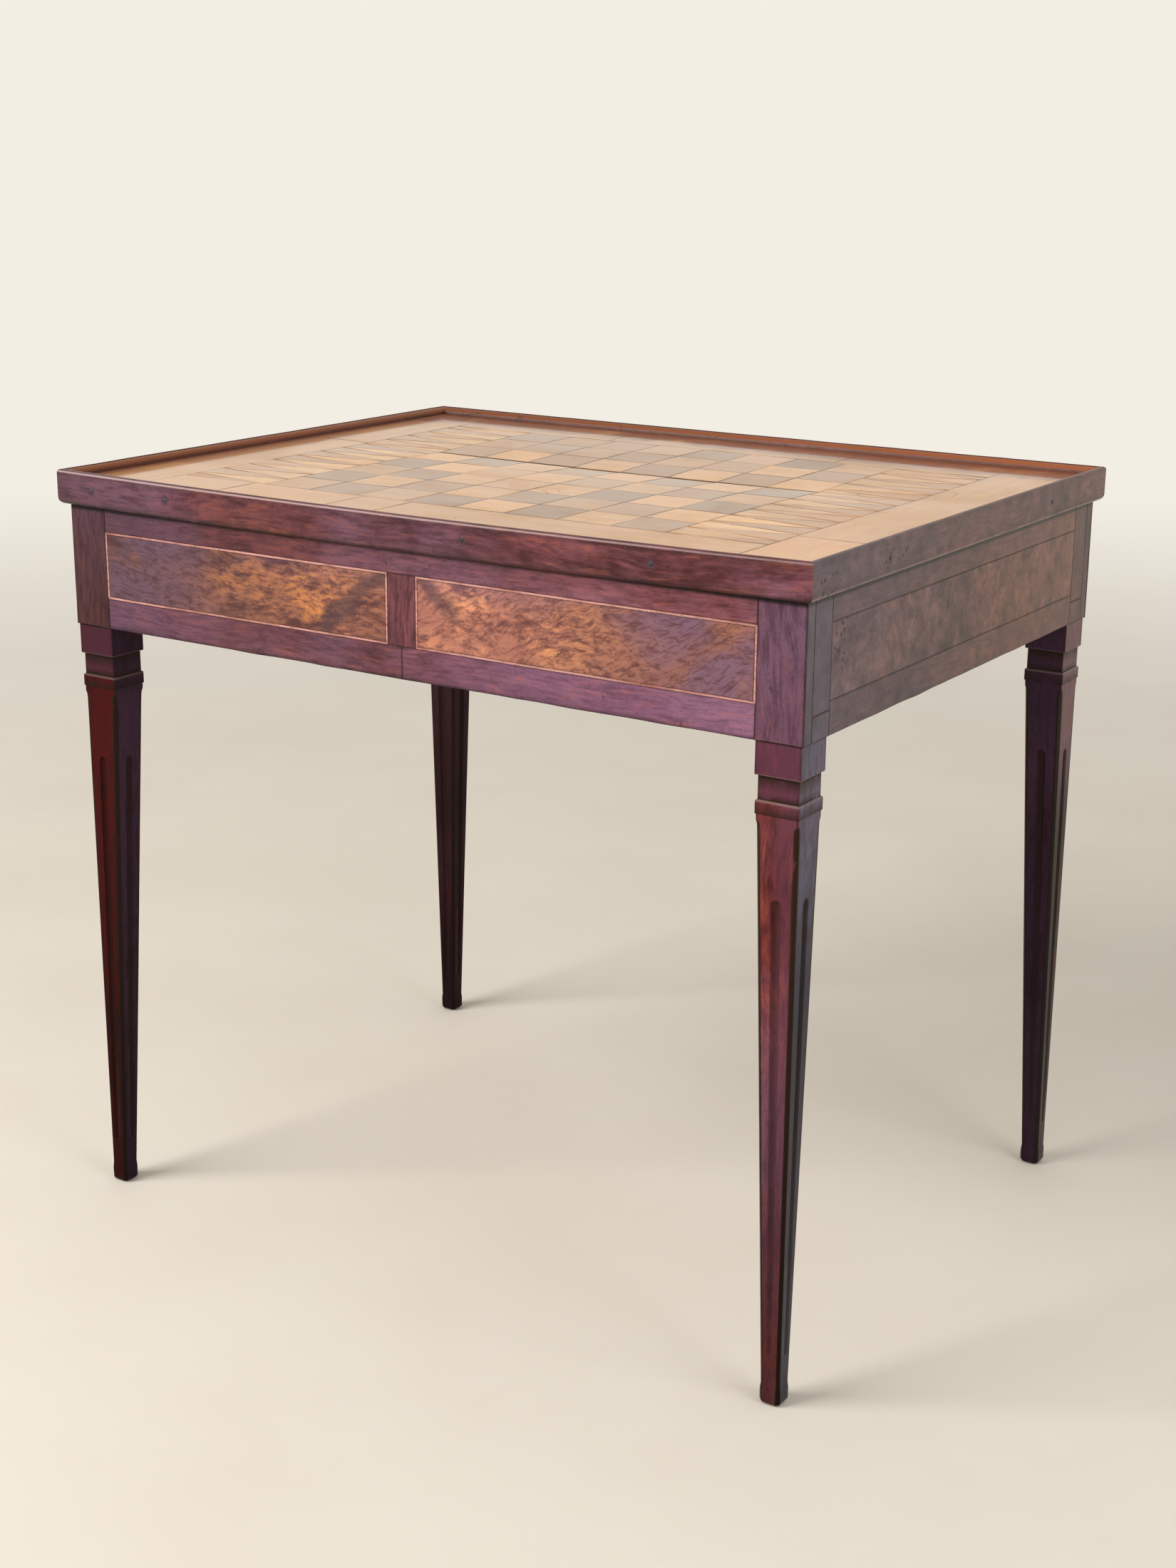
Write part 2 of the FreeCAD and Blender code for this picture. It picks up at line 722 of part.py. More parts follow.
def chequer(name, parity):
    """Every second square of the chessboard."""
    tiles = []
    half_joint = s.inlay_joint / 2
    for row in range(SQUARES_PER_SIDE):
        for column in range(SQUARES_PER_SIDE):
            if (row + column) % 2 != parity:
                continue
            x, y = -board_half + column * square_side, -board_half + row * square_side
            x_span = (x + half_joint, x + square_side - half_joint)
            y_span = (y + half_joint, y + square_side - half_joint)
            tiles.append(box(f"{name}_{row}_{column}", x_span, y_span, inlay_level))
    return group(name, tiles)


light_squares = chequer("light_squares", 0)
dark_squares = chequer("dark_squares", 1)
point_pitch = 2 * board_half / POINTS_PER_END


def right_points():
    """Long points whose bases stand on the chessboard's edge."""
    sketch = sketch_on("XY", "right_points_outline", board_top)
    for number in range(POINTS_PER_END):
        base = -board_half + number * point_pitch
        tip = (points_x, base + point_pitch / 2)
        add_outline(sketch, [(board_half, base), tip, (board_half, base + point_pitch)])
    return extrude("right_points", sketch, s.veneer_thickness)


def right_point_ground():
    """The pieces between the points, with a half piece at each end."""
    sketch = sketch_on("XY", "right_ground_outline", board_top)
    tip = -board_half + point_pitch / 2
    add_outline(sketch, [(board_half, -board_half), (points_x, -board_half), (points_x, tip)])
    add_outline(sketch, [(board_half, board_half), (points_x, -tip), (points_x, board_half)])
    for number in range(1, POINTS_PER_END):
        base = -board_half + number * point_pitch
        add_outline(sketch, [
            (board_half, base), (points_x, base - point_pitch / 2), (points_x, base + point_pitch / 2)])
    return extrude("right_point_ground", sketch, s.veneer_thickness)


points_right = right_points()
ground_right = right_point_ground()
points_left = mirror("left_points", points_right, "X")
ground_left = mirror("left_point_ground", ground_right, "X")
border_front = box("border_front", (-points_x, points_x), (-tray_y, -board_half), inlay_level)
border_right = box("border_right", (points_x, tray_x), (-tray_y, tray_y), inlay_level)
border_back = mirror("border_back", border_front, "Y")
border_left = mirror("border_left", border_right, "X")

PIECES = [
    leg_front_left, leg_front_right, leg_back_right, leg_back_left,
    apron_front, apron_back, apron_left, apron_right, tenon_pegs,
    ledger_front, ledger_back, ledger_left, ledger_right, floor_board_front, floor_board_back,
    stiles_front_left, stiles_front_right, stiles_back_right, stiles_back_left,
    *front_set.values(), *back_set, *right_set.values(), *left_set,
    top_board_front, top_board_back, rim_front, rim_back, rim_left, rim_right, rim_nails,
    light_squares, dark_squares, points_left, ground_left, points_right, ground_right,
    border_front, border_back, border_left, border_right, underside_cloth,
]

doc.recompute()
for item in doc.Objects:
    if "Invalid" in item.State or "Error" in item.State:
        raise RuntimeError(f"{item.Label} failed: {item.State}")
for piece in PIECES:
    if piece.Shape.isNull() or not piece.Shape.isValid() or not piece.Shape.Solids:
        raise RuntimeError(f"{piece.Label} has no sound solid")

os.makedirs("parts", exist_ok=True)
for piece in PIECES:
    piece.Shape.exportStep(f"parts/{piece.Label}.step")
    print(f"{piece.Label}: {len(piece.Shape.Solids)} solids, {piece.Shape.Volume:.0f} cubic mm")
print(len(PIECES), "pieces")
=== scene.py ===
"""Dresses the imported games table: worn veneers, a moulded rim, fluted legs and an inlaid top."""

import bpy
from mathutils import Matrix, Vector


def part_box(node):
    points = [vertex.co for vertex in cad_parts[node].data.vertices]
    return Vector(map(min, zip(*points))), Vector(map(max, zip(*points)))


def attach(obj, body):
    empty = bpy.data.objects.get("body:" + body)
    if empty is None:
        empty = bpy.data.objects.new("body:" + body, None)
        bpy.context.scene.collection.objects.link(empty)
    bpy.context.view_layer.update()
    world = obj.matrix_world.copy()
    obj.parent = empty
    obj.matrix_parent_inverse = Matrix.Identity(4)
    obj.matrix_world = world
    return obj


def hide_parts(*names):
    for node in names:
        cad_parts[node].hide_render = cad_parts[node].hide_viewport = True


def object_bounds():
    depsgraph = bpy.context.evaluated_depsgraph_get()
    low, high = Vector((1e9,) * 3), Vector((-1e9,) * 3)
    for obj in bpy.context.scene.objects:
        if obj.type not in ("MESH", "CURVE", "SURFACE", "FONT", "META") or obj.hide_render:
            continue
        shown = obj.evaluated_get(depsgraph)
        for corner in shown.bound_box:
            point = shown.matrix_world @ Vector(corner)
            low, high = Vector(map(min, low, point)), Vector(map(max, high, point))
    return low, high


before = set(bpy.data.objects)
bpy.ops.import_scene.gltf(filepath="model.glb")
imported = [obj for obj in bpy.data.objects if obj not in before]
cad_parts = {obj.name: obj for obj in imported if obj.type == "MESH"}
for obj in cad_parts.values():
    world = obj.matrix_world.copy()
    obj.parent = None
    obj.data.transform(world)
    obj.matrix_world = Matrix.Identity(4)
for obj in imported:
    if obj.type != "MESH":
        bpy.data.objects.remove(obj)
CAD_BOX = [list(corner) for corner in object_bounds()]

import math
import random

import bmesh
import bpy
from bpy.props import FloatProperty, FloatVectorProperty, PointerProperty
from mathutils import Color, Matrix, Vector, noise

bl_info = {
    "name": "Games table",
    "version": (1, 0, 0),
    "blender": (4, 5, 0),
    "location": "View3D > Sidebar > Games table",
    "description": "Builds the veneers, moulded rim, fluted legs and inlaid top of a games table",
    "category": "Object",
}

MM = 0.001
RIGHT_ANGLE = math.radians(90)

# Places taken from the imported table
RIM_X, RIM_Y, TABLE_TOP = CAD_BOX[1]
RIM_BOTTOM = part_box("rim_front")[0].z
TRAY_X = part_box("border_right")[1].x
TRAY_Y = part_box("border_back")[1].y
POINTS_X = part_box("border_right")[0].x
BOARD_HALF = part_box("border_back")[0].y
SURFACE_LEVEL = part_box("border_front")[1].z
VENEER = SURFACE_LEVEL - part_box("border_front")[0].z
CASE_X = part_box("right_panel")[1].x
CASE_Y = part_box("back_panel_left")[1].y
CASE_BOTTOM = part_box("front_bottom_rail_left")[0].z
CORE_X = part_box("leg_back_right")[1].x
CORE_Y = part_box("leg_back_right")[1].y
POST_WIDTH = CORE_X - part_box("stile_veneers_back_right")[0].x
NAIL_LEVEL = (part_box("rim_nails")[0].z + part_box("rim_nails")[1].z) / 2
CORNERS = {
    "front_left": (-1, -1),
    "front_right": (1, -1),
    "back_right": (1, 1),
    "back_left": (-1, 1),
}

# Squares and points; the open joint of the boards lies one square behind the middle
SQUARES = 8
POINTS = 12
SQUARE = 2 * BOARD_HALF / SQUARES
CRACK_Y = SQUARE

# Levels at the head of the legs
NECK_TOP = CASE_BOTTOM - 28.6 * MM
BAND_TOP = NECK_TOP - 20.7 * MM
BAND_LOW = BAND_TOP - 11.9 * MM

# Nails, as shares of the rim's length from its middle
LONG_RIM_NAILS = (-0.446, -0.33, 0.089, 0.32)
END_RIM_NAILS = (-0.28, 0.28)

# Lengths of the waves in old veneer, in its hand-cut joints and in its ragged lower edge
RIPPLE_WAVE = 50 * MM
CUT_WAVE = 60 * MM
RAGGED_WAVE = 35 * MM
RAGGED_LIFT = 0.4

# How far dirt reaches in from a veneer's edges, and the most that edge and dirt take of a side
CASE_SOIL = 1.4 * MM
EDGE_LIMIT = 0.1
SOIL_LIMIT = 0.3
SHARP_ANGLE = math.radians(38)

# Stretch of a pattern along the grain
ALONG_X = (0.08, 1.0, 1.0)
ALONG_Y = (1.0, 0.08, 1.0)
ALONG_Z = (1.0, 1.0, 0.08)
CLOUDY = (1.0, 0.8, 0.75)

# Dark, middle and bright tones of a wood, and how the dulled end veneers shine
MAHOGANY = ("mahogany_deep", "mahogany", "mahogany_glow")
END_VENEER = ("end_deep", "end", "end_glow")
DULLED = {"polish": 0.34, "gloss": 0.38}


def number(name, description, default, **kind):
    """A number for the sidebar, with its unit or limits."""
    return FloatProperty(name=name, description=description, default=default, **kind)


def length(name, description, default):
    """A size in metres for the sidebar."""
    return number(name, description, default, unit="LENGTH", precision=5)


def colour(name, description, red, green, blue):
    """A colour as it looks on a screen, from 0 to 255."""
    return FloatVectorProperty(
        name=name, description=description, default=(red / 255, green / 255, blue / 255),
        size=3, subtype="COLOR_GAMMA", min=0, max=1,
    )


class TableSizes(bpy.types.PropertyGroup):
    """Sizes of wear, edges and mouldings."""
    sag: length("Sag", "How far the boards have sunk along their open joint", 3.5 * MM)
    crack_step: length("Step at the open joint", "Drop of the front board below the back", 0.5 * MM)
    inlay_edge: length("Inlay edge", "Rounding of the edges of the inlaid pieces", 0.35 * MM)
    inlay_soil: length("Inlay soil", "How far dirt has crept in from the joints", 2.2 * MM)
    veneer_edge: length("Veneer edge", "Rounding of the edges of the case veneers", 0.4 * MM)
    joint: length("Inlay joint", "Gap between inlaid pieces", 0.2 * MM)
    crack: length("Open joint", "Gap between the two shrunken boards", 0.9 * MM)
    hand_cut: length("Hand cutting", "How far hand-cut joints wander", 0.25 * MM)
    ripple: length("Ripple", "How far old veneer ripples", 0.12 * MM)
    ragged_edge: length("Ragged edge", "How uneven the lower edge of the case is", 0.7 * MM)
    string_width: length("Stringing", "Width of the pale stringing", 1.8 * MM)
    rim_upper_round: length("Rim upper round", "Radius of the rim's outer top arris", 3 * MM)
    rim_lower_round: length("Rim lower round", "Radius of the rim's outer lower arris", 6 * MM)
    rim_flat: length("Rim flat", "Width of the flat on the top of the rim", 4.5 * MM)
    rim_fillet: length("Rim fillet", "Height of the step above the ovolo", 0.6 * MM)
    ovolo: length("Ovolo", "Radius of the quarter round inside the rim", 7 * MM)
    rim_bow: length("Rim bow", "How far the long rims have bowed down in the middle", 3 * MM)
    nail_head: length("Nail head", "Width of the nail heads", 5 * MM)
    chamfer: length("Chamfer", "Width of the chamfers on the legs", 2.2 * MM)
    flute_radius: length("Flute radius", "Radius of the gouge that cut the flutes", 5 * MM)
    flute_head_depth: length("Flute head depth", "Depth of the flutes at the head", 3.2 * MM)
    flute_tail_depth: length("Flute tail depth", "Depth of the flutes at the tail", 0.8 * MM)


class TableColours(bpy.types.PropertyGroup):
    """Colours of the woods, metal and cloth, as they look on a screen, with some colours that paint
    light and shade.
    """
    mahogany_deep: colour("Mahogany, deep", "Dark streaks of the mahogany", 58, 24, 27)
    mahogany: colour("Mahogany", "Body of the mahogany", 104, 59, 66)
    mahogany_glow: colour("Mahogany, glow", "Bright streaks of the mahogany", 152, 82, 58)
    # Violet bloom of old polish together with painted sheen
    bloom_and_sheen: colour("Bloom", "Violet bloom on old polish", 122, 89, 110)
    # Laid by haze as a painted violet sheen along the rails
    violet: colour("Violet", "Deeper bloom at some ends of the rails", 106, 77, 106)
    leg_deep: colour("Leg, deep", "Dark streaks of the legs", 34, 12, 16)
    leg: colour("Leg", "Body of the legs", 94, 42, 42)
    leg_glow: colour("Leg, glow", "Bright streaks of the legs", 156, 76, 44)
    leg_red: colour("Leg, red", "Body of the front left leg", 72, 12, 11)
    # Painted violet shade on the inner faces of the legs
    leg_shaded_violet: colour("Leg, violet", "Body of the inner faces of the legs", 48, 30, 48)
    # Painted bluish sheen: outer end faces of the front legs, and towards the front of the end
    # veneers
    cool_sheen: colour("Leg side", "Dulled outer sides of the front legs", 82, 84, 104)
    # Also laid as a painted violet sheen on the right half of the front right leg
    collar: colour("Collar", "Violet blocks and necks at the head of the legs", 76, 43, 58)
    # Painted highlight on the leg bands' upper bevel, the blocks' lower arris and the end rims'
    # lower arris
    arris_highlight: colour("Worn arris", "Pale edges worn through the polish", 142, 124, 120)
    rim_glint: colour("Rim glint", "Pale upper arris of the long rims", 196, 166, 164)
    # Painted warm light and reflection on the moulding inside the rim
    rim_warm_light: colour("Rim, warm", "Warm moulding inside the rim", 134, 76, 44)
    end_deep: colour("End veneer, deep", "Dark streaks of the dulled end veneers", 62, 42, 40)
    end: colour("End veneer", "Body of the dulled end veneers", 98, 67, 60)
    end_glow: colour("End veneer, glow", "Bright streaks of the dulled end veneers", 128, 84, 60)
    walnut_deep: colour("Walnut, deep", "Dark clouds of the figured walnut", 84, 43, 42)
    walnut: colour("Walnut", "Body of the figured walnut", 150, 96, 82)
    walnut_glow: colour("Walnut, glow", "Golden patches of the right panels", 206, 138, 96)
    walnut_gold: colour("Walnut, gold", "Golden patches of the left panels", 210, 134, 74)
    feather: colour("Feather", "Dark feather figure beside the mullion", 80, 56, 62)
    string: colour("Stringing", "Pale stringing", 206, 152, 144)
    light_square: colour("Light square", "Light squares", 212, 156, 92)
    dark_square: colour("Dark square", "Dark squares", 162, 122, 82)
    point: colour("Point", "Pale points", 230, 174, 100)
    point_ground: colour("Point ground", "Ground between the points", 188, 136, 86)
    border: colour("Border", "Border of the playing surface", 204, 147, 84)
    inlay_streak: colour("Inlay streak", "Darker streaks in the inlay", 160, 110, 66)
    inlay_warm: colour("Inlay, warm", "Inlaid pieces that kept their colour", 224, 152, 80)
    inlay_grey: colour("Inlay, rubbed", "Rubbed grey patches of the inlay", 174, 138, 100)
    # Painted reflection of the rim in the polished top, together with old polish, along its left
    # and back
    rim_reflection_and_polish: colour("Old polish", "Brown polish along the foot of the rim", 128, 72, 42)
    nail_stain: colour("Nail stain", "Blue-black stain round the nails", 60, 50, 62)
    oak: colour("Oak", "Hidden oak boards", 156, 118, 80)
    iron: colour("Iron", "Nail heads", 68, 66, 72)
    cloth: colour("Cloth", "Cloth under the top", 44, 74, 50)
    # Also laid as painted shade: in the flutes, in shadow lines at the heads of the legs, in the
    # rim's ovolo
    dirt_and_shade: colour("Dirt", "Old dirt in joints and pores", 38, 24, 18)
    floor: colour("Floor", "Floor under the table", 234, 228, 218)
    backdrop: colour("Backdrop", "Light all round the table", 243, 238, 228)


class TableStage(bpy.types.PropertyGroup):
    """Light and camera."""
    key: number("Key light", "Power of the large front light", 118, unit="POWER")
    fill: number("Fill light", "Power of the right light", 30, unit="POWER")
    sky: number("Sky", "Strength of the light from all round", 0.56, min=0)
    place: FloatVectorProperty(
        name="Camera place", description="Where the camera stands",
        default=(1.19488, -1.8287, 1.06631), subtype="TRANSLATION", unit="LENGTH",
    )
    yaw: number("Yaw", "Turn of the camera", 0.578287, unit="ROTATION")
    pitch: number("Pitch", "Downward tilt of the camera", 0.286555, unit="ROTATION")
    roll: number("Roll", "Lean of the camera", 0.007879, unit="ROTATION")
    lens: number("Lens", "Focal length in millimetres", 52.193, min=1)


def sizes():
    """Sizes chosen in the sidebar."""
    return bpy.context.scene.games_table_sizes


def paint(name):
    """A chosen colour as the shaders need it."""
    chosen = Color(getattr(bpy.context.scene.games_table_colours, name))
    return (*chosen.from_srgb_to_scene_linear(), 1.0)


class Wire:
    """An output socket that can stand in a sum: each sign adds a Math node."""

    def __init__(self, finish, socket):
        self.finish = finish
        self.socket = socket

    def maths(self, operation, first, second=0.0):
        return self.finish.add("ShaderNodeMath", {"operation": operation}, {0: first, 1: second})

    def __add__(self, other):
        return self.maths("ADD", self, other)

    def __radd__(self, other):
        return self.maths("ADD", other, self)

    def __sub__(self, other):
        return self.maths("SUBTRACT", self, other)

    def __rsub__(self, other):
        return self.maths("SUBTRACT", other, self)

    def __mul__(self, other):
        return self.maths("MULTIPLY", self, other)

    def __rmul__(self, other):
        return self.maths("MULTIPLY", other, self)

    def __abs__(self):
        return self.maths("ABSOLUTE", self)


class Finish:
    """A node tree that is written as sums and named nodes, with the colour laid on so far."""

    def __init__(self, owner, tone):
        owner.use_nodes = True
        self.owner = owner
        self.tree = owner.node_tree
        self.tree.nodes.clear()
        self.base = paint(tone)

    def add(self, kind, settings, inputs, output=0):
        """A node of one kind: its settings first, then the values or links of its sockets."""
        node = self.tree.nodes.new(kind)
        for name, value in settings.items():
            setattr(node, name, value)
        for name, value in inputs.items():
            if isinstance(value, Wire):
                self.tree.links.new(value.socket, node.inputs[name])
            else:
                node.inputs[name].default_value = value
        return Wire(self, node.outputs[output]) if len(node.outputs) else None

    def place(self):
        return self.add("ShaderNodeTexCoord", {}, {}, "Object")

    def marks(self, name, output):
        return self.add("ShaderNodeAttribute", {"attribute_name": name}, {}, output)

    def split(self, vector):
        """The three parts of a vector."""
        node = self.add("ShaderNodeSeparateXYZ", {}, {0: vector}).socket.node
        return [Wire(self, output) for output in node.outputs]

    def vector(self, operation, first, second):
        return self.add("ShaderNodeVectorMath", {"operation": operation}, {0: first, 1: second})

    def stretch(self, vector, shares):
        return self.vector("MULTIPLY", vector, shares)

    def shift(self, place, marks):
        """The place moved along by each piece's own stretch of grain."""
        return self.vector("ADD", place, self.stretch(marks, (0.0, 0.0, 9.0)))

    def apart(self, vector, centre):
        """How far the vector is from a place."""
        settings = {"operation": "DISTANCE"}
        return self.add("ShaderNodeVectorMath", settings, {0: vector, 1: centre}, "Value")

    def noise(self, vector, scale, detail=3.0, roughness=0.55, distortion=0.0):
        sockets = {"Vector": vector, "Scale": scale, "Detail": detail, "Roughness": roughness,
                   "Distortion": distortion}
        return self.add("ShaderNodeTexNoise", {}, sockets)

    def warp(self, vector, scale, strength):
        """The vector pushed about by a coloured noise."""
        sockets = {"Vector": vector, "Scale": scale, "Detail": 2.0}
        push = self.add("ShaderNodeTexNoise", {}, sockets, 1)
        centred = self.vector("SUBTRACT", push, (0.5, 0.5, 0.5))
        return self.vector("ADD", vector, self.stretch(centred, (strength,) * 3))

    def ramp(self, value, low, high):
        """Smoothly from 0 at low to 1 at high."""
        sockets = {"Value": value, "From Min": low, "From Max": high}
        return self.add("ShaderNodeMapRange", {"interpolation_type": "SMOOTHSTEP"}, sockets)

    def scratches(self, bent, spacing, width, patches):
        """Fine lines along a bent place, in patches only."""
        line = abs(self.noise(bent, spacing, detail=1.0) - 0.5)
        return (1 - self.ramp(line, 0.0, width)) * patches

    def blend(self, amount, second, kind):
        """The colour so far, mixed with a second one."""
        settings = {"data_type": "RGBA", "blend_type": kind}
        self.base = self.add("ShaderNodeMix", settings, {0: amount, 6: self.base, 7: second}, 2)

    def lay(self, amount, tone):
        """A share of a tone over the colour so far."""
        self.blend(amount, paint(tone), "MIX")

    def lighten(self, brightness):
        """The colour so far, brighter above 1 and darker below."""
        self.blend(1.0, brightness, "MULTIPLY")

    def surface(self, roughness, height, depth, others):
        """The finished surface: colour, gloss and relief, and the shader's other sockets."""
        relief = {"Strength": 1.0, "Distance": depth, "Height": height}
        inputs = {"Base Color": self.base, "Roughness": roughness,
                  "Normal": self.add("ShaderNodeBump", {}, relief), **others}
        shader = self.add("ShaderNodeBsdfPrincipled", {}, inputs)
        self.add("ShaderNodeOutputMaterial", {}, {"Surface": shader})
        return self.owner


def new_finish(name, tone):
    return Finish(bpy.data.materials.new(name), tone)


def half_stretch(grain):
    """A gentler stretch along the same grain, for clouds and stains."""
    return tuple(axis ** 0.45 for axis in grain)


def worm_holes(f, place, shifted, centres):
    """Small dark holes, close together round each centre."""
    cells = {"Vector": shifted, "Scale": 170.0, "Randomness": 1.0}
    holes = 1 - f.ramp(f.add("ShaderNodeTexVoronoi", {}, cells, "Distance"), 0.24, 0.34)
    eaten = sum(1 - f.ramp(f.apart(place, centre), 4 * MM, 20 * MM) for centre in centres)
    f.lay(holes * f.ramp(eaten * f.noise(shifted, 90.0), 0.26, 0.36), "dirt_and_shade")


def open_split(f, place, off):
    """A broken dark line that wanders up the veneer."""
    bend = (f.noise(f.stretch(place, (0.0, 0.0, 1.0)), 34.0) - 0.5) * 14 * MM
    broken = f.ramp(f.noise(place, 26.0), 0.42, 0.54)
    f.lay((1 - f.ramp(abs(off + bend), 0.6 * MM, 2.4 * MM)) * broken * 0.7, "dirt_and_shade")


def polished_wood(name, tones, grain, *, glow=0.5, bloom_and_sheen=0.4, streak=1.0, cloud=14.0, fibre=360.0,
                  polish=0.3, gloss=0.15, dirt_and_shade=0.6, hollow=0.75, rubbed_and_lit=None, haze=(), collar=0.0,
                  sheen=0.0, ends=None, worm=(), split=None, nails=(), lean=0.0, mottle=0.0,
                  under_rim=False, shaded=None):
    """Old polished wood: fibres and pores along the grain, bloom with painted sheen, grime with
    painted shade, painted highlights, scratches and holes.

    glow, bloom and streak are shares of bright streaks, violet bloom with painted sheen and dark
    streaks, and cloud and fibre say how fine the figure is. dirt lies at the joints and, on the
    legs and the rim, in painted shadow lines; hollow is painted shade in the flutes, and rubbed is
    the tone of the painted highlights and warm light. haze, collar, sheen and ends lay other tones
    along the
    piece: haze and sheen are painted violet sheen, and ends a painted cool sheen at the front and a
    warmer tone at the back; worm, split and nails say where it is marked. lean, mottle, under_rim
    and
    shaded change brightness: lean is painted light growing to the right, under_rim a painted shadow
    under the rim, and shaded darkens towards the bottom, as painted shade on the legs and a darker
    lower edge on the bottom rail.
    split and nails say where it is marked. lean, mottle, under_rim and shaded change brightness.
    """
    deep, body, bright = tones
    f = new_finish(name, deep)
    place = f.place()
    across, along, level = f.split(place)
    marks = f.marks("tone", "Vector")
    light, sunk, _ = f.split(marks)
    shifted = f.shift(place, marks)
    drifted = f.warp(shifted, 7.0, 0.03)
    cloud_place = f.stretch(drifted, half_stretch(grain))
    fibres = f.noise(f.stretch(drifted, grain), fibre, 5.0, 0.66)
    streaks = f.noise(cloud_place, fibre * 0.5, 5.0, 0.65)
    clouds = f.noise(cloud_place, cloud, 4.0, 0.55, 0.8)
    pores = f.ramp(f.noise(cloud_place, fibre * 4.0, 2.0), 0.56, 0.7)
    specks = f.ramp(f.noise(shifted, 150.0, 2.0, 0.6), 0.66, 0.76)
    figure = clouds * 0.6 + streaks * 0.4
    f.lay(f.ramp(figure, 0.32, 0.56), body)
    f.lay(f.ramp(figure, 0.5, 0.68) * glow, bright)
    # Violet polish bloom together with painted sheen, in patches
    f.lay(f.ramp(f.noise(shifted, 5.0, 3.0, 0.5), 0.4, 0.64) * bloom_and_sheen, "bloom_and_sheen")
    # haze: painted violet sheen along the rails
    for start, stop, amount in haze:
        f.lay(f.ramp(across, start, stop) * amount, "violet")
    f.lay(f.ramp(streaks, 0.5, 0.36) * (0.35 * streak), deep)
    f.lay(f.ramp(fibres, 0.54, 0.36) * (0.6 * streak), deep)
    f.lay(f.ramp(fibres, 0.54, 0.7) * 0.4, bright)
    f.lay(pores * 0.5, "dirt_and_shade")
    f.lay(specks * 0.4, "dirt_and_shade")
    if collar:
        f.lay(f.ramp(level, BAND_TOP - MM, BAND_TOP + MM) * collar, "collar")
    # sheen: painted violet sheen on the right half of a leg's face, in the collar colour
    if sheen:
        f.lay(f.ramp(across, CORE_X - 25 * MM, CORE_X - 17 * MM) * sheen, "collar")
    # ends: painted cool sheen towards the front of an end, and a warmer tone towards the back
    if ends:
        cool, warm = ends
        f.lay(f.ramp(along, 0.1, -RIM_Y) * cool, "cool_sheen")
        f.lay(f.ramp(along, -0.05, RIM_Y) * warm, "end_glow")
    edge = f.marks("edge", "Fac")
    # Grime at the joints; on the legs and the rim the edge marks also hold painted shade and shadow
    # lines
    f.lay(edge * dirt_and_shade * f.ramp(f.noise(shifted, 50.0), 0.2, 0.5), "dirt_and_shade")
    # Painted highlights and warm light, from the warm marks of the legs and the rim
    f.lay(f.marks("warm", "Fac"), rubbed_and_lit or bright)
    # Painted shade in the flutes, deeper where they are sunk
    f.lay(sunk * hollow, "dirt_and_shade")
    patches = f.ramp(f.noise(place, 6.0), 0.55, 0.68)
    scratch = f.scratches(f.warp(place, 3.0, 0.2), 22.0, 0.005, patches)
    f.lay(scratch * 0.5, "dirt_and_shade")
    if worm:
        worm_holes(f, place, shifted, worm)
    if split is not None:
        open_split(f, place, along - split)
    for nail in nails:
        stained = 1 - f.ramp(f.apart(f.warp(place, 90.0, 0.006), nail), 2 * MM, 7 * MM)
        f.lay(stained * 0.6, "nail_stain")
    brightness = light * 0.6 + 0.82
    # lean: painted light, brighter towards the right
    if lean:
        brightness = brightness * (across * lean + 1)
    if mottle:
        brightness = brightness * ((f.noise(drifted, 60.0, 4.0, 0.6) - 0.5) * mottle + 1)
    if under_rim:
        shadow = f.ramp(level, RIM_BOTTOM - 6 * MM, RIM_BOTTOM - 2.5 * MM)
        brightness = brightness * (1 - 0.93 * shadow)
    if shaded:
        depth, low, high = shaded
        brightness = brightness * (1 - depth * (1 - f.ramp(level, low, high)))
    f.lighten(brightness)
    roughness = polish + fibres * 0.16 + specks * 0.1 + edge * 0.06 - 0.06
    uneven = f.noise(shifted, 40.0) * 0.7
    height = fibres * 0.4 - pores * 0.5 - scratch * 0.8 - specks * 0.4 + uneven
    return f.surface(roughness, height, 0.14 * MM, {"Specular IOR Level": gloss})


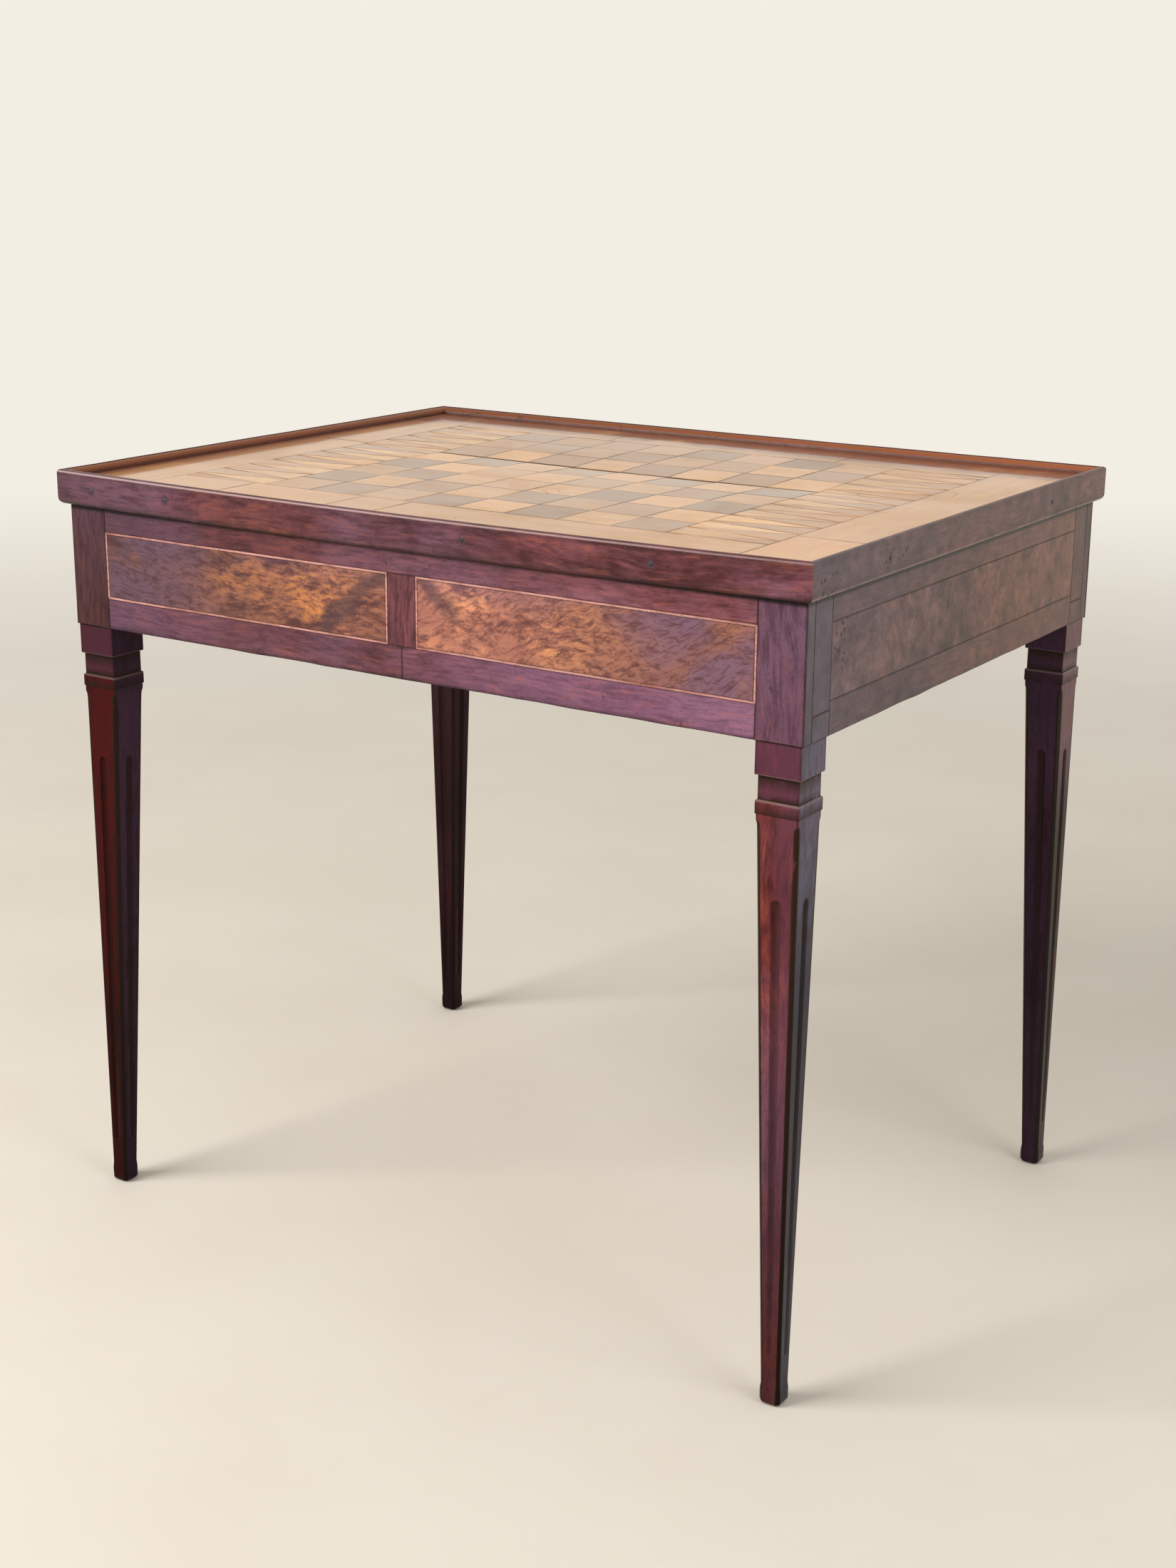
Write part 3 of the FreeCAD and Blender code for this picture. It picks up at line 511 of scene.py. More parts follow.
def figured_walnut(name, shine, *, shift, swirl, stretch, lean, heart, dark, slope, tip, dusk):
    """Figured walnut: fine burr, golden patches, violet ends with painted sheen, and a dark feather
    at the mullion.

    shift and swirl set its figure apart from the other panel's, stretch and lean lay its clouds
    and threads, heart is where the gold lies and dark how much of it is dark. slope and tip shape
    the feather, and dusk darkens the far end.
    """
    f = new_finish(name, "walnut_deep")
    place = f.place()
    across, _, level = f.split(place)
    reach = abs(across)
    bent = f.warp(f.vector("ADD", place, (0.0, shift, 0.0)), 11.0, swirl)
    bent = f.warp(bent, 60.0, 0.005)
    turned = {"Vector": bent, "Angle": lean}
    leaning = f.add("ShaderNodeVectorRotate", {"rotation_type": "Y_AXIS"}, turned)
    clouds = f.noise(f.stretch(bent, (stretch, 1.0, 1.4)), 30.0, 5.0, 0.66)
    burr = f.noise(f.stretch(bent, (0.35, 1.0, 1.0)), 200.0, 6.0, 0.74)
    threads = f.noise(f.stretch(leaning, (0.1, 1.0, 1.0)), 420.0, 3.0, 0.6)
    specks = f.ramp(f.noise(bent, 150.0, 3.0, 0.7), 0.62, 0.72)
    golden = 1 - f.ramp(abs(reach - heart), 0.04, 0.15)
    gold = f.ramp(f.noise(bent, 13.0, 3.0, 0.5), 0.36, 0.6) * (golden * 0.8 + 0.2)
    # Violet at the far ends and along the top of the panel: polish bloom with painted sheen
    violet = f.ramp(reach, 0.16, 0.33) * 0.95 + f.ramp(level, 0.655, 0.685) * 0.35
    f.lay(f.ramp(clouds, dark, dark + 0.2), "walnut")
    f.lay(f.ramp(clouds * 0.5 + burr * 0.5, 0.44, 0.62) * gold, shine)
    f.lay(violet * f.ramp(f.noise(bent, 18.0), 0.26, 0.54), "bloom_and_sheen")
    run = (reach - 0.018) * 0.8 + (level - 0.684) * slope
    feather = 1 - f.ramp(abs(run + (f.noise(bent, 40.0) - 0.5) * 0.03), 0.004, 0.016)
    f.lay(feather * (1 - f.ramp(reach, tip, tip + 0.02)) * 0.75, "feather")
    f.lay(f.ramp(burr, 0.54, 0.34) * 0.75, "walnut_deep")
    f.lay(f.ramp(threads, 0.5, 0.34) * 0.6, "walnut_deep")
    f.lay(specks * 0.4, "dirt_and_shade")
    f.lay(f.marks("edge", "Fac") * 0.4, "dirt_and_shade")
    # Each panel's painted light level, darker towards its far ends
    light = f.split(f.marks("tone", "Vector"))[0] * 0.6 + 0.7
    fading = 1 - f.ramp(reach, 0.09, 0.2) * 0.24
    f.lighten(light * fading * (1 - f.ramp(reach, 0.22, 0.33) * dusk))
    roughness = 0.26 + burr * 0.16 + specks * 0.12
    height = burr * 0.5 - specks * 0.7 + f.noise(place, 45.0) * 0.8
    return f.surface(roughness, height, 0.14 * MM, {"Specular IOR Level": 0.3})


def inlay_wood(name, tone, grain, *, streak, joint=0.7):
    """Worn inlay under old polish: fine streaks, grey worn clouds, dark joints and scratches, a
    dark line along the open joint, and a painted reflection of the rim along the left and back.
    """
    f = new_finish(name, tone)
    place = f.place()
    across, along, _ = f.split(place)
    marks = f.marks("tone", "Vector")
    light, warm, _ = f.split(marks)
    shifted = f.shift(place, marks)
    fibre_place = f.stretch(f.warp(shifted, 12.0, 0.012), grain)
    fibres = f.noise(fibre_place, 330.0, 5.0, 0.62)
    streaks = f.noise(fibre_place, 80.0, 3.0, 0.55)
    clouds = f.noise(place, 9.0, 5.0, 0.62, 0.6)
    pores = f.ramp(f.noise(fibre_place, 1000.0, 2.0), 0.6, 0.72)
    flecks = f.ramp(f.noise(shifted, 130.0, 2.0, 0.6), 0.68, 0.76)
    f.lay(f.ramp(streaks, 0.6, 0.38) * streak, "inlay_streak")
    f.lay(f.ramp(fibres, 0.5, 0.32) * 0.4, "inlay_streak")
    f.lay(warm * 0.6, "inlay_warm")
    f.lay(f.ramp(clouds, 0.5, 0.7) * 0.4, "inlay_grey")
    f.lay(pores * 0.3, "walnut_deep")
    f.lay(flecks * 0.45, "walnut_deep")
    edge = f.marks("edge", "Fac")
    f.lay(edge * joint * f.ramp(f.noise(place, 14.0, 2.0), 0.28, 0.6), "dirt_and_shade")
    # Dark line along the open joint: grime in it and painted shade of the gap
    off_crack = abs(along - CRACK_Y + (f.noise(place, 24.0, 2.0) - 0.5) * 3 * MM)
    within = 1 - f.ramp(abs(across), POINTS_X - 30 * MM, POINTS_X + 10 * MM)
    f.lay((1 - f.ramp(off_crack, 0.5 * MM, 2 * MM)) * within * 0.7, "dirt_and_shade")
    # Painted reflection of the rim in the polished top, together with old polish, along the left
    # and back
    at_left = f.ramp(across + TRAY_X, 50 * MM, 4 * MM)
    at_back = f.ramp(TRAY_Y - along, 64 * MM, 36 * MM)
    f.lay((at_left * 0.6 + at_back) * f.ramp(clouds, 0.25, 0.55), "rim_reflection_and_polish")
    patches = f.ramp(f.noise(place, 7.0), 0.52, 0.62)
    scratch = f.scratches(f.warp(place, 4.0, 0.3), 13.0, 0.004, patches)
    f.lay(scratch * 0.55, "walnut_deep")
    f.lighten((light * 0.6 + 0.7) * (f.ramp(across, 0.12, TRAY_X) * 0.16 + 1))
    roughness = 0.3 + f.ramp(clouds, 0.4, 0.7) * 0.08 + fibres * 0.1 + edge * 0.1
    height = fibres * 0.35 - pores * 0.3 - scratch * 0.8 + f.noise(shifted, 30.0) * 0.6
    coat = 0.76 - f.ramp(clouds, 0.42, 0.7) * 0.22 - scratch * 0.3
    others = {"Specular IOR Level": 0.1, "Coat Weight": coat, "Coat Roughness": 0.06}
    return f.surface(roughness, height, 0.05 * MM, others)


def plain_oak(name, grain):
    """Unpolished oak of the hidden boards."""
    f = new_finish(name, "oak")
    place = f.place()
    fibre_place = f.stretch(f.warp(place, 5.0, 0.04), grain)
    fibres = f.noise(fibre_place, 260.0, 5.0, 0.6)
    clouds = f.noise(f.stretch(place, half_stretch(grain)), 14.0)
    pores = f.ramp(f.noise(fibre_place, 900.0, 2.0), 0.58, 0.7)
    f.lay(f.ramp(clouds, 0.35, 0.65) * 0.4, "end")
    f.lay(f.ramp(fibres, 0.56, 0.34) * 0.6, "walnut_deep")
    f.lay(pores * 0.6, "dirt_and_shade")
    height = fibres * 0.6 - pores
    return f.surface(0.62 + fibres * 0.2, height, 0.25 * MM, {"Specular IOR Level": 0.3})


def forged_iron(name):
    """Dull nail heads with hammer marks."""
    f = new_finish(name, "iron")
    hammered = f.noise(f.place(), 700.0)
    f.lay(f.ramp(hammered, 0.4, 0.7), "dirt_and_shade")
    return f.surface(0.36 + hammered * 0.25, hammered, 0.2 * MM, {"Metallic": 0.75})


def baize(name):
    """Close green cloth with a short nap."""
    f = new_finish(name, "cloth")
    place = f.place()
    nap = f.noise(place, 2400.0, 3.0, 0.7)
    f.lay(f.ramp(nap, 0.3, 0.7) * 0.5, "dirt_and_shade")
    f.lay(f.ramp(f.noise(place, 9.0, 4.0, 0.6), 0.55, 0.75) * 0.4, "oak")
    others = {"Sheen Weight": 0.4, "Specular IOR Level": 0.15}
    return f.surface(0.9 - nap * 0.05, nap, 0.3 * MM, others)


def tone_of(bright, shift=0.0, mark=0.0):
    """A point's tone: brightness, how sunk or warm it is, and its own stretch of grain."""
    return (bright, mark, shift)


class Build:
    """Points and faces of one piece, with the grime and painted shade of its edges, the tone of
    each point and its painted highlight.
    """

    def __init__(self):
        self.points, self.edges, self.tones, self.painted_highlights = [], [], [], []
        self.faces, self.kinds = [], []
        self.kind = 0

    def add(self, point, edge=0.0, tone=tone_of(0.5), warm=0.0):
        self.points.append(point)
        self.edges.append(edge)
        self.tones.append(tone)
        self.painted_highlights.append(warm)
        return len(self.points) - 1

    def face(self, *corners):
        self.faces.append(corners)
        self.kinds.append(self.kind)

    def strip(self, first, second, closed=False):
        """Quads between two rows of points."""
        count = len(first)
        for k in range(count if closed else count - 1):
            j = (k + 1) % count
            self.face(first[k], first[j], second[j], second[k])

    def bar(self, rings, kinds):
        """A closed bar through rings of points; kinds gives the finish of each side."""
        for low, high in zip(rings, rings[1:]):
            for k, kind in enumerate(kinds):
                j = (k + 1) % len(kinds)
                self.kind = kind
                self.face(low[k], low[j], high[j], high[k])
        self.kind = 0
        self.face(*rings[0])
        self.face(*rings[-1])

    def piece(self, name, finishes, body, slot, *nodes):
        """One object that rides on a body and stands for the named nodes."""
        mesh = bpy.data.meshes.new(name)
        mesh.from_pydata(self.points, [], self.faces)
        mesh.polygons.foreach_set("material_index", self.kinds)
        # The warm marks hold painted highlights and warm light; the edge marks hold grime and
        # painted shade
        for mark, values in (("edge", self.edges), ("warm", self.painted_highlights)):
            mesh.attributes.new(mark, "FLOAT", "POINT").data.foreach_set("value", values)
        flat = [part for tone in self.tones for part in tone]
        mesh.attributes.new("tone", "FLOAT_VECTOR", "POINT").data.foreach_set("vector", flat)
        work = bmesh.new()
        work.from_mesh(mesh)
        bmesh.ops.recalc_face_normals(work, faces=work.faces)
        work.to_mesh(mesh)
        work.free()
        mesh.shade_smooth()
        mesh.set_sharp_from_angle(angle=SHARP_ANGLE)
        for finish in finishes:
            mesh.materials.append(finish)
        piece = bpy.data.objects.new(name, mesh)
        bpy.context.scene.collection.objects.link(piece)
        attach(piece, body)
        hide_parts(*nodes)
        return piece


def side_steps(side, count, edge, soil_and_shade):
    """Shares along a side: close rows at its rounded, soiled ends and even ones between."""
    near = min(EDGE_LIMIT, edge / side)
    wide = min(SOIL_LIMIT, soil_and_shade / side)
    even = [wide + (1 - 2 * wide) * k / count for k in range(count + 1)]
    return [0.0, near] + even + [1.0 - near, 1.0]


def outline(grid):
    """The points along the border of a grid, once round."""
    right = [row[-1] for row in grid[1:-1]]
    left = [row[0] for row in grid[-2:0:-1]]
    return grid[0] + right + grid[-1][::-1] + left


def add_slab(build, corners, cells, thickness, put, edge, tone=tone_of(0.5), soil_and_shade=CASE_SOIL):
    """A closed slab over four corners, with rounded upper edges; put places a point of it."""
    a, b, c, d = (Vector(corner) for corner in corners)
    across = side_steps(((b - a).length + (c - d).length) / 2, cells[0], edge, soil_and_shade)
    along = side_steps(((d - a).length + (c - b).length) / 2, cells[1], edge, soil_and_shade)
    upper, lower = [], []
    for j, t in enumerate(along):
        upper.append([])
        lower.append([])
        for i, s in enumerate(across):
            u, v = a.lerp(b, s).lerp(d.lerp(c, s), t)
            inward = min(i, j, len(across) - 1 - i, len(along) - 1 - j)
            top_point = put(u, v, 0.0 if inward else -edge)
            upper[j].append(build.add(top_point, 1.0 if inward < 2 else 0.0, tone))
            lower[j].append(build.add(put(u, v, -thickness), 1.0, tone))
    for grid in (upper, lower):
        for j in range(len(along) - 1):
            build.strip(grid[j], grid[j + 1])
    build.strip(outline(upper), outline(lower), closed=True)


def rectangle(u0, u1, v0, v1):
    return [(u0, v0), (u1, v0), (u1, v1), (u0, v1)]


def wander(u, v, seed, wave):
    """A slow hand-made unevenness between -1 and 1."""
    return noise.noise(Vector((u / wave, v / wave, seed)))


def face_of_case(axis, face, facing):
    """A way to put points on an outer face of the case, with hand-cut joints and ripples."""
    cut, ripple, ragged = sizes().hand_cut, sizes().ripple, sizes().ragged_edge
    seed = 3.1 + 2.3 * axis + facing

    def put(u, v, w):
        lift = w if w else min(0.0, ripple * wander(u, v, seed, RIPPLE_WAVE))
        outward = facing * (face + lift)
        u_moved = u + cut * wander(u, v, seed + 10, CUT_WAVE)
        v_moved = v + cut * wander(u, v, seed + 20, CUT_WAVE)
        if v < CASE_BOTTOM + MM:
            v_moved += ragged * (RAGGED_LIFT + wander(u, 0.0, seed + 30, RAGGED_WAVE))
        return Vector((outward, u_moved, v_moved) if axis == 0 else (u_moved, outward, v_moved))

    return put


def case_veneer(node, finish, slot, cells, tone):
    """One flat veneer of the case, where its node is."""
    low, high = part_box(node)
    axis = 0 if high.x - low.x < high.y - low.y else 1
    facing = 1 if low[axis] > 0 else -1
    put = face_of_case(axis, max(abs(low[axis]), abs(high[axis])), facing)
    corners = rectangle(low[1 - axis], high[1 - axis], low.z, high.z)
    build = Build()
    add_slab(build, corners, cells, high[axis] - low[axis], put, sizes().veneer_edge, tone)
    build.piece(f"{node}_veneer", [finish], "case", slot, node)


def sag(x, y):
    """How far the boards have sunk: a shallow valley along the open joint, held by the rim."""
    behind = y > CRACK_Y
    reach = TRAY_Y - CRACK_Y if behind else TRAY_Y + CRACK_Y
    rise = min(1.0, abs(y - CRACK_Y) / reach)
    across = max(0.0, 1 - (x / TRAY_X) ** 2)
    deepest = sizes().sag if y < CRACK_Y else sizes().sag - sizes().crack_step
    steepness = 4 if behind else 6
    return deepest * across ** 1.1 * (1 - rise) ** steepness


def on_top(level):
    """A way to put points on the sunken top at one level."""
    def put(u, v, w):
        return Vector((u, v, level + w - sag(u, v)))

    return put


class GAMES_TABLE_OT_legs(bpy.types.Operator):
    """Four square legs: post, neck, band, chamfered shaft with stopped flutes, and foot"""
    bl_idname = "games_table.legs"
    bl_label = "Legs"

    wood = {"cloud": 9.0, "fibre": 300.0, "dirt_and_shade": 3.0, "rubbed_and_lit": "arris_highlight"}
    end_wood = {**wood, "polish": 0.34, "gloss": 0.2, "streak": 0.5, "hollow": 0.95,
                "shaded": (0.75, 0.36, 0.5)}
    face_wood = {**wood, "polish": 0.26, "gloss": 0.05, "glow": 0.6, "streak": 0.4, "hollow": 0.45,
                 "collar": 0.7, "lean": 0.6, "shaded": (0.6, 0.02, 0.5)}
    inner_wood = {**wood, "polish": 0.26, "gloss": 0.05, "glow": 0.7, "streak": 0.5, "hollow": 0.7,
                  "bloom_and_sheen": 0.1, "shaded": (0.45, 0.02, 0.42)}

    # Middle and bright tones of the outer face and of the inner faces, with painted violet shade
    # inside, then the outer face's violet bloom and painted sheen, and the painted light level of
    # the leg
    looks = {
        "front_left": (("leg_red", "leg_red"), ("leg_shaded_violet", "leg_shaded_violet"), 0.0, 0.0, 0.5),
        "front_right": (("leg", "leg_glow"), ("leg_shaded_violet", "leg_shaded_violet"), 0.5, 0.5, 0.75),
        "back_right": (("leg", "leg_glow"), ("leg_shaded_violet", "leg_shaded_violet"), 0.4, 0.0, 0.4),
        "back_left": (("leg", "leg_red"), ("leg_deep", "leg_red"), 0.3, 0.0, 0.3),
    }

    neck_inset = 2.25 * MM
    band_inset = 0.7 * MM
    bevel = 1.1 * MM
    line = 1.2 * MM
    crisp = 0.35 * MM
    shaft_inset = 1.5 * MM
    shaft_top = 39 * MM
    shaft_bottom = 18.5 * MM
    foot = 19 * MM
    foot_swell = 0.8 * MM
    foot_round = 4 * MM
    foot_turns = 4
    flute_head = BAND_LOW - 70 * MM
    flute_tail = 47 * MM
    flute_rows = 26
    flute_shares = (-1.0, -0.82, -0.5, 0.0, 0.5, 0.82, 1.0)
    flute_widest = 0.8
    flute_narrowest = 0.16
    margin_shares = (0.6, 0.18, 0.0)
    full_hollow = 1.6 * MM
    least_chamfer_darkening = 0.15
    unevenness = 0.12
    rubbing = 0.15 * MM

    def execute(self, context):
        # The outer end faces of the front legs carry a painted bluish sheen
        front_tones = ("end_deep", "cool_sheen", "cool_sheen")
        front = polished_wood("Front leg end face", front_tones, ALONG_Z, bloom_and_sheen=0.3,
                              **self.end_wood)
        behind = polished_wood("Back leg end face", END_VENEER, ALONG_Z, bloom_and_sheen=0.4,
                               **self.end_wood)
        for number, (corner, (sx, sy)) in enumerate(CORNERS.items()):
            outer, inner, bloom_and_sheen, sheen, shade = self.looks[corner]
            face = polished_wood(f"Leg mahogany {corner}", ("leg_deep", *outer), ALONG_Z,
                                 bloom_and_sheen=bloom_and_sheen, sheen=sheen, **self.face_wood)
            inside = polished_wood(f"Leg inside {corner}", ("leg_deep", *inner), ALONG_Z,
                                   **self.inner_wood)
            build = Build()
            self.leg(build, sx, sy, 11.0 * number, shade)
            finishes = [face, front if sy < 0 else behind, inside]
            build.piece(f"leg_{corner}_shaped", finishes, "case", "leg_mahogany", f"leg_{corner}")
        return {"FINISHED"}

    def shaft(self, level):
        """Where the tapered inner faces lie at a level of the shaft."""
        rise = (level - self.foot) / (BAND_LOW - self.foot)
        taper = self.shaft_top - self.shaft_bottom
        return self.shaft_inset + self.shaft_bottom + taper * rise

    def foot_rows(self):
        """Rows of the swollen foot: level, outer inset, inner limit and chamfer."""
        chamfer = sizes().chamfer
        outer = self.shaft_inset - self.foot_swell
        inner = self.shaft_inset + self.shaft_bottom + self.foot_swell
        rows = []
        for turn in range(self.foot_turns + 1):
            share = turn / self.foot_turns
            inset = self.foot_round * (1 - math.sin(RIGHT_ANGLE * share))
            level = self.foot_round * (1 - math.cos(RIGHT_ANGLE * share))
            rows.append((level, outer + inset, inner - inset, chamfer * (1.1 + 0.3 * share)))
        return rows + [
            (self.foot - 6 * MM, outer, inner, chamfer * 1.3),
            (self.foot - 3 * MM, outer + 0.3 * MM, inner - 0.3 * MM, chamfer * 1.2),
            (self.foot, self.shaft_inset, self.shaft(self.foot), chamfer),
        ]

    def shaft_rows(self):
        """Rows of the shaft, close together at the ends of the flutes, up to the chamfer's stop."""
        chamfer, tail, head = sizes().chamfer, self.flute_tail, self.flute_head
        close = 0.6 * MM
        even = (head - tail - 10 * MM) / self.flute_rows
        levels = [30 * MM, 40 * MM, tail - MM]
        levels += [tail + k * close for k in range(6)]
        levels += [tail + 4 * MM + even * k for k in range(self.flute_rows + 1)]
        levels += [head - 5.4 * MM + k * close for k in range(10)]
        levels += [head + 1.2 * MM, head + 14 * MM, head + 34 * MM, BAND_LOW - 12 * MM]
        rows = [(level, self.shaft_inset, self.shaft(level), chamfer) for level in levels]
        stop, stopped = BAND_LOW - 8 * MM, BAND_LOW - 5.5 * MM
        return rows + [
            (stop, self.shaft_inset, self.shaft(stop), chamfer * 0.8),
            (stopped, self.shaft_inset, self.shaft(stopped), self.crisp),
            (BAND_LOW - self.crisp, self.shaft_inset, self.shaft(BAND_LOW), self.crisp),
        ]

    def head_rows(self):
        """Rows of the band, neck, block and post: level, inset, painted highlight, and grime with
        painted shadow lines.
        """
        band, neck, bevel, line = self.band_inset, self.neck_inset, self.bevel, self.line
        # Painted highlights on the band's upper bevel and the block's lower arris; painted shadow
        # lines between band and neck and under the block; grime at the other edges
        return [
            (BAND_LOW + self.crisp, band, 0.0, 0.3),
            (BAND_TOP - bevel - line, band, 0.0, 0.0),
            (BAND_TOP - bevel, band, 0.35, 0.0),
            (BAND_TOP, band + bevel, 0.35, 0.0),
            (BAND_TOP + 0.1 * MM, neck, 0.0, 1.0),
            (BAND_TOP + line, neck, 0.0, 0.3),
            (BAND_TOP + 7 * MM, neck, 0.0, 0.0),
            (NECK_TOP - 2 * line, neck, 0.0, 0.3),
            (NECK_TOP - 0.1 * MM, neck, 0.0, 1.0),
            (NECK_TOP, 0.5 * MM, 0.0, 1.0),
            (NECK_TOP + 0.5 * MM, 0.0, 0.3, 0.0),
            (NECK_TOP + line, 0.0, 0.0, 0.0),
            (NECK_TOP + 14 * MM, 0.0, 0.0, 0.0),
            (CASE_BOTTOM - line, 0.0, 0.0, 0.0),
            (CASE_BOTTOM + MM, 0.0, 0.0, 1.0),
            (RIM_BOTTOM, 0.0, 0.0, 0.0),
        ]

    def rows(self):
        """Rows up the leg: level, outer inset, inner limit, chamfer, painted highlight, and grime
        with painted shadow lines.
        """
        rows = [(*row, 0.0, 0.0) for row in self.foot_rows() + self.shaft_rows()]
        for level, inset, rubbed_and_lit, dirt_and_shade in self.head_rows():
            rows.append((level, inset, POST_WIDTH - inset, self.crisp, rubbed_and_lit, dirt_and_shade))
        return rows

    def flute(self, level):
        """Half width, depth and end share of the flute at a level."""
        chosen, tail, head = sizes(), self.flute_tail, self.flute_head
        gouge = chosen.flute_radius
        rise = min(1.0, max(0.0, (level - tail) / (head - tail)))
        deepening = chosen.flute_head_depth - chosen.flute_tail_depth
        depth = chosen.flute_tail_depth + deepening * rise
        half = math.sqrt(gouge ** 2 - (gouge - depth) ** 2)
        if level < tail or level > head:
            return half, 0.0, 1.0
        close = min(level - tail, head - level) / half
        end = math.sqrt(max(0.0, 1 - (1 - min(1.0, close)) ** 2))
        return half, depth * math.sqrt(end), max(self.flute_narrowest, end)

    def leg(self, build, sx, sy, seed, shade):
        """One leg of square rings; sx and sy turn its outer faces to its own corner."""
        rings = []
        for level, outer, inner, chamfer, rubbed_and_lit, dirt_and_shade in self.rows():
            half, middle = (inner - outer) / 2, (outer + inner) / 2
            flat = half - chamfer
            flute_half, depth, end = self.flute(level)
            bend = flute_half / sizes().flute_radius
            chord = math.sqrt(1 - bend ** 2)
            flute_half = min(flute_half, flat * self.flute_widest) * end
            margin = [flat - (flat - flute_half) * share for share in self.margin_shares]
            hollowed = [flute_half * share for share in self.flute_shares]
            offsets = [-offset for offset in margin[::-1]] + hollowed + margin
            # The leg's painted light level, with random unevenness along it
            bright = shade + self.unevenness * noise.noise(Vector((seed, 0.0, level * 6)))
            # Chamfers darker where they are fully cut, less so towards their stops
            cut = (chamfer - self.crisp) / (sizes().chamfer - self.crisp)
            chamfer_darkening = min(1.0, max(self.least_chamfer_darkening, cut))
            ring = []
            for side in range(4):
                for offset in offsets:
                    share = min(1.0, abs(offset) / flute_half)
                    hollow = depth * (math.sqrt(1 - (bend * share) ** 2) - chord) / (1 - chord)
                    rub_and_light = noise.noise(Vector((seed + side, offset * 90, level * 30)))
                    out = half - hollow - max(0.0, self.rubbing * rub_and_light)
                    turns = ((offset, -out), (out, offset), (-offset, out), (-out, -offset))
                    x = sx * (CORE_X - middle + turns[side][0])
                    y = sy * (CORE_Y - middle - turns[side][1])
                    at_arris = abs(offset) > flat - 0.01 * MM
                    soil_and_shade = max(dirt_and_shade, chamfer_darkening) if at_arris else dirt_and_shade
                    tone = tone_of(bright, seed * 0.01, min(1.0, hollow / self.full_hollow))
                    ring.append(build.add(Vector((x, y, level)), soil_and_shade, tone, rubbed_and_lit))
            rings.append(ring)
        kinds = [min(2, k // len(offsets)) for k in range(4 * len(offsets))]
        build.bar(rings, kinds)


class GAMES_TABLE_OT_inside(bpy.types.Operator):
    """Oak boards, pegs, ledgers and floor inside the case"""
    bl_idname = "games_table.inside"
    bl_label = "Inside of the case"

    softening = 0.6 * MM

    def execute(self, context):
        groups = {
            ALONG_X: ("apron_front", "apron_back", "ledger_front", "ledger_back",
                      "floor_board_front", "floor_board_back"),
            ALONG_Y: ("apron_left", "apron_right", "ledger_left", "ledger_right"),
            ALONG_Z: ("tenon_pegs",),
        }
        for number, (grain, nodes) in enumerate(groups.items()):
            finish = plain_oak(f"Oak {number}", grain)
            for node in nodes:
                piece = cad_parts[node]
                piece.data.materials.clear()
                piece.data.materials.append(finish)
                softened = piece.modifiers.new("Softened edges", "BEVEL")
                softened.width = self.softening
                softened.segments = 2
                softened.limit_method = "ANGLE"
        return {"FINISHED"}


class GAMES_TABLE_OT_stiles(bpy.types.Operator):
    """Upright veneers on the corner posts"""
    bl_idname = "games_table.stiles"
    bl_label = "Stile veneers"

    seam_share = 0.3
    patch = 22 * MM
    # Painted light level of each stile, darkest at the front left
    shades = {"front_left": -0.5, "front_right": 0.1, "back_right": 0.3, "back_left": 0.3}

    def execute(self, context):
        finish = polished_wood("Stile mahogany", MAHOGANY, ALONG_Z, glow=0.25, bloom_and_sheen=0.7,
                               cloud=12.0, fibre=260.0, dirt_and_shade=0.7, under_rim=True, lean=0.2,
                               streak=0.8, haze=((0.3, 0.34, 0.5),))
        aside_finish = polished_wood("End stile veneer", END_VENEER, ALONG_Z, glow=0.25, bloom_and_sheen=0.15,
                                     fibre=240.0, dirt_and_shade=0.9, under_rim=True, ends=(0.55, 0.0),
                                     mottle=1.2, **DULLED)
        edge = sizes().veneer_edge
        for number, (corner, (sx, sy)) in enumerate(CORNERS.items()):
            node = f"stile_veneers_{corner}"
            low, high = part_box(node)
            shift = 0.11 * number
            build = Build()
            ahead = rectangle(low.x, high.x, low.z, high.z)
            tone = tone_of(self.shades[corner], shift)
            add_slab(build, ahead, (8, 22), VENEER, face_of_case(1, CASE_Y, sy), edge, tone)
            build.kind = 1
            inner, outer = sy * (CORE_Y - POST_WIDTH), sy * CORE_Y
            seam = outer + (inner - outer) * self.seam_share
            patch_top = low.z + self.patch
            put = face_of_case(0, CASE_X, sx)
            spans = (
                (outer, seam, low.z, high.z, 0.08),
                (seam, inner, patch_top, high.z, 0.16),
                (seam, inner, low.z, patch_top, 0.3),
            )
            for part, (start, stop, bottom, top, bright) in enumerate(spans):
                aside = rectangle(*sorted((start, stop)), bottom, top)
                tone = tone_of(bright, shift + 0.3 * part)
                add_slab(build, aside, (5, 14), VENEER, put, edge, tone)
            finishes = [finish, aside_finish]
            build.piece(f"{node}_upright", finishes, "case", "mahogany_veneer", node)
        return {"FINISHED"}


